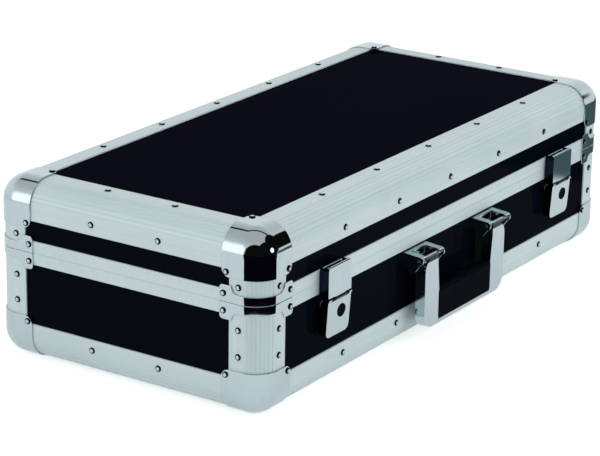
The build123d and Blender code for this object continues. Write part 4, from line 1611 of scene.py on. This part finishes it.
@dataclass(frozen=True)
class SoftBox:
    """One lamp: where it hangs in metres, its width and height, and its power in watts."""

    name: str
    place: Place
    size: Point
    power: float

    def hang(self, aim: Place) -> None:
        """Hang the lamp, aimed at a point."""
        light = bpy.data.lights.new(self.name, "AREA")
        light.shape = "RECTANGLE"
        light.size, light.size_y = self.size
        light.energy = self.power
        holder = linked(self.name, light)
        holder.visible_glossy = False
        way = Vector(aim) - Vector(self.place)
        turn = way.to_track_quat("-Z", "Y").to_matrix().to_4x4()
        holder.matrix_world = Matrix.Translation(self.place) @ turn


@dataclass
class Studio:
    """Camera, floor, lamps and the room that the chrome shows."""

    lens: float = 152.7
    sensor: float = 36.0
    clip: Point = (0.1, 50.0)
    eye: Place = (-2.0852, -1.3464925, 0.9131)
    yaw: float = 0.9885
    pitch: float = 0.3281
    roll: float = 0.016
    aim: Place = (0.0, 0.0, 0.1)
    soft_boxes: tuple[SoftBox, ...] = (
        SoftBox("top_box", (-0.4, 0.2, 1.9), (1.8, 1.6), 6.0),
        SoftBox("left_box", (-2.2, 0.5, 1.15), (1.2, 1.0), 7.0),
        SoftBox("front_box", (0.6, -2.1, 1.15), (1.4, 1.0), 15.0))
    floor_reach: float = 3500.0
    floor_tone: float = 0.9
    floor_mirrored: float = 0.6
    floor_glow: float = 0.58
    dark_patches: tuple[RoomPatch, ...] = (
        RoomPatch(-58, 28, 32.4, 31), RoomPatch(-100, 12, 40, 37), RoomPatch(-150, 0, 48, 45))
    bright_patches: tuple[RoomPatch, ...] = (
        RoomPatch(-75, 12, 9, 6, 3.0), RoomPatch(148, 12, 24, 4, 0.9))
    dusk_depth: float = 0.995
    seam_axis: Place = (-0.914, -0.364, 0.178)
    seam_offset: float = 0.2
    seam_edges: Point = (0.075, 0.045)
    seam_rise: Point = (0.66, 0.76)
    ceiling_rise: Point = (0.35, 0.85)
    ceiling_depth: float = 0.35
    ambient: float = 0.78
    ambient_rise: Point = (0.1, 0.9)
    ambient_drop: float = 0.45
    cloth_lift: float = 4.0
    cloth_steps: int = 12
    near_bearings: Point = (162.0, 308.0)
    near_reach: Point = (240.0, 6500.0)
    near_fade: Point = (-9.0, -8.0)
    near_colour: Place = (0.003, 0.002, 0.006)
    far_outline: tuple[Point, ...] = ((450, -200), (450, -2400), (2600, -2400), (2600, 60))
    far_fade: Point = (0.462, 0.492)
    far_colour: Place = (0.11, 0.175, 0.195)

    def camera(self) -> None:
        """Set the camera at the photograph's place."""
        sensor = bpy.data.cameras.new("camera")
        sensor.lens = self.lens
        sensor.sensor_width = self.sensor
        sensor.clip_start, sensor.clip_end = self.clip
        holder = linked("camera", sensor)
        bpy.context.scene.camera = holder
        ahead = Vector((math.sin(self.yaw) * math.cos(self.pitch),
                        math.cos(self.yaw) * math.cos(self.pitch), -math.sin(self.pitch)))
        right = Vector((math.cos(self.yaw), -math.sin(self.yaw), 0))
        up = right.cross(ahead)
        c, s = math.cos(self.roll), math.sin(self.roll)
        axes = (c * right + s * up, -s * right + c * up, -ahead)
        holder.matrix_world = Matrix.Translation(self.eye) @ Matrix(axes).transposed().to_4x4()

    def seen(self, net: NodeNet, mirrored: float = 1.0) -> Wire:
        """1 for rays of the camera and through glass, a share for glossy ones, else 0."""
        path = net.node("ShaderNodeLightPath")
        camera, glossy, glass = (Wire(net, path.outputs[f"Is {kind} Ray"])
                                 for kind in ("Camera", "Glossy", "Transmission"))
        return net.maths("MINIMUM", camera + glossy * mirrored + glass, 1.0)

    def floor(self) -> None:
        """Lay a plain pale floor that keeps the object's shadow."""
        reach, tone = self.floor_reach, self.floor_tone
        piece = new_object("floor", [(-reach, -reach, 0), (reach, -reach, 0), (reach, reach, 0),
                                     (-reach, reach, 0)], [[0, 1, 2, 3]])
        paint = Paint("pale_floor")
        matt = paint.node("ShaderNodeBsdfDiffuse", None, {"Color": (tone, tone, tone, 1)})
        glow = paint.node("ShaderNodeEmission", None,
                          {"Color": (1, 1, 1, 1),
                           "Strength": self.seen(paint, self.floor_mirrored) * self.floor_glow})
        both = paint.node("ShaderNodeAddShader", None, {0: matt.outputs[0], 1: glow.outputs[0]})
        piece.data.materials.append(paint.surface(both))

    def room(self) -> None:
        """Paint the world: even light for surfaces, and a studio with a dark side for chrome."""
        world = bpy.data.worlds.new("studio")
        bpy.context.scene.world = world
        world.use_nodes = True
        net = NodeNet(world.node_tree)
        way = net.wire("ShaderNodeTexCoord", output="Generated")
        rise = net.part(way, "Z")
        glossy = net.wire("ShaderNodeLightPath", output="Is Glossy Ray")
        # Painted reflection: a dark band of the room, which the chrome mirrors as a dark seam line
        # across the ball corners.
        across = net.along(way, Vector(self.seam_axis).normalized())
        seam = net.step(net.maths("ABSOLUTE", across + self.seam_offset), *self.seam_edges)
        dusk = sum(patch.wire(net, way) for patch in self.dark_patches)
        dusk = net.maths("MINIMUM", dusk + seam * net.step(rise, *self.seam_rise), 1.0)
        ceiling = net.step(rise, *self.ceiling_rise) * self.ceiling_depth
        shade = 1.0 - glossy * net.maths("MAXIMUM", dusk * self.dusk_depth, ceiling)
        glow = glossy * sum(patch.wire(net, way) for patch in self.bright_patches)
        ambient = self.ambient - net.step(rise, *self.ambient_rise) * self.ambient_drop
        shown = self.seen(net)
        back = net.node("ShaderNodeBackground", None,
                        {"Color": (1, 1, 1, 1),
                         "Strength": (1.0 - shown) * ambient + shown * shade + glow})
        net.node("ShaderNodeOutputWorld", None, {"Surface": back.outputs[0]})

    def dark_cloth(self, name: str, outline: Sequence[Point], fade: Point, colour: Place) -> None:
        """Lay a dark cloth on the floor, seen in reflections alone.

        Args:
            name: The cloth's name.
            outline: Its corners in millimetres.
            fade: Places along X, in metres, where it begins and where it is whole.
            colour: Its colour.
        """
        piece = new_object(name, [(x, y, self.cloth_lift) for x, y in outline],
                           [range(len(outline))])
        paint = Paint(name)
        share = paint.step(paint.part(paint.place, "X"), *fade)
        matt = paint.node("ShaderNodeBsdfDiffuse", None, {"Color": (*colour, 1)})
        clear = paint.node("ShaderNodeBsdfTransparent")
        both = paint.node("ShaderNodeMixShader", None,
                          {0: share, 1: clear.outputs[0], 2: matt.outputs[0]})
        piece.data.materials.append(paint.surface(both))
        piece.visible_camera = piece.visible_shadow = piece.visible_diffuse = False

    def dark_cloths(self) -> None:
        """Lay one cloth round the near corner and one beyond the far end."""
        corner = sizes.corner_point(-1, -1, 0).xy
        first, last = self.near_bearings
        inner, outer = self.near_reach
        ring = (arc(corner, inner, first, last, self.cloth_steps)
                + arc(corner, outer, last, first, self.cloth_steps))
        self.dark_cloth("dark_cloth_near", ring, self.near_fade, self.near_colour)
        self.dark_cloth("dark_cloth_far", self.far_outline, self.far_fade, self.far_colour)

    def build(self) -> None:
        """Build the studio."""
        self.camera()
        self.floor()
        self.room()
        self.dark_cloths()
        for box in self.soft_boxes:
            box.hang(self.aim)
        bpy.context.scene.view_settings.view_transform = "Standard"


def main() -> None:
    """Build the case and its studio."""
    logging.basicConfig(level=logging.INFO, format="%(name)s %(message)s")
    for group in (Studio(), EdgeTrim(), ClosureStrips(), BallCorners(), CornerBraces(), Rivets(),
                  Panels(), DrawLatches(), DropHandle(), BackHinges(), Interior()):
        group.build()


if __name__ == "__main__":
    main()
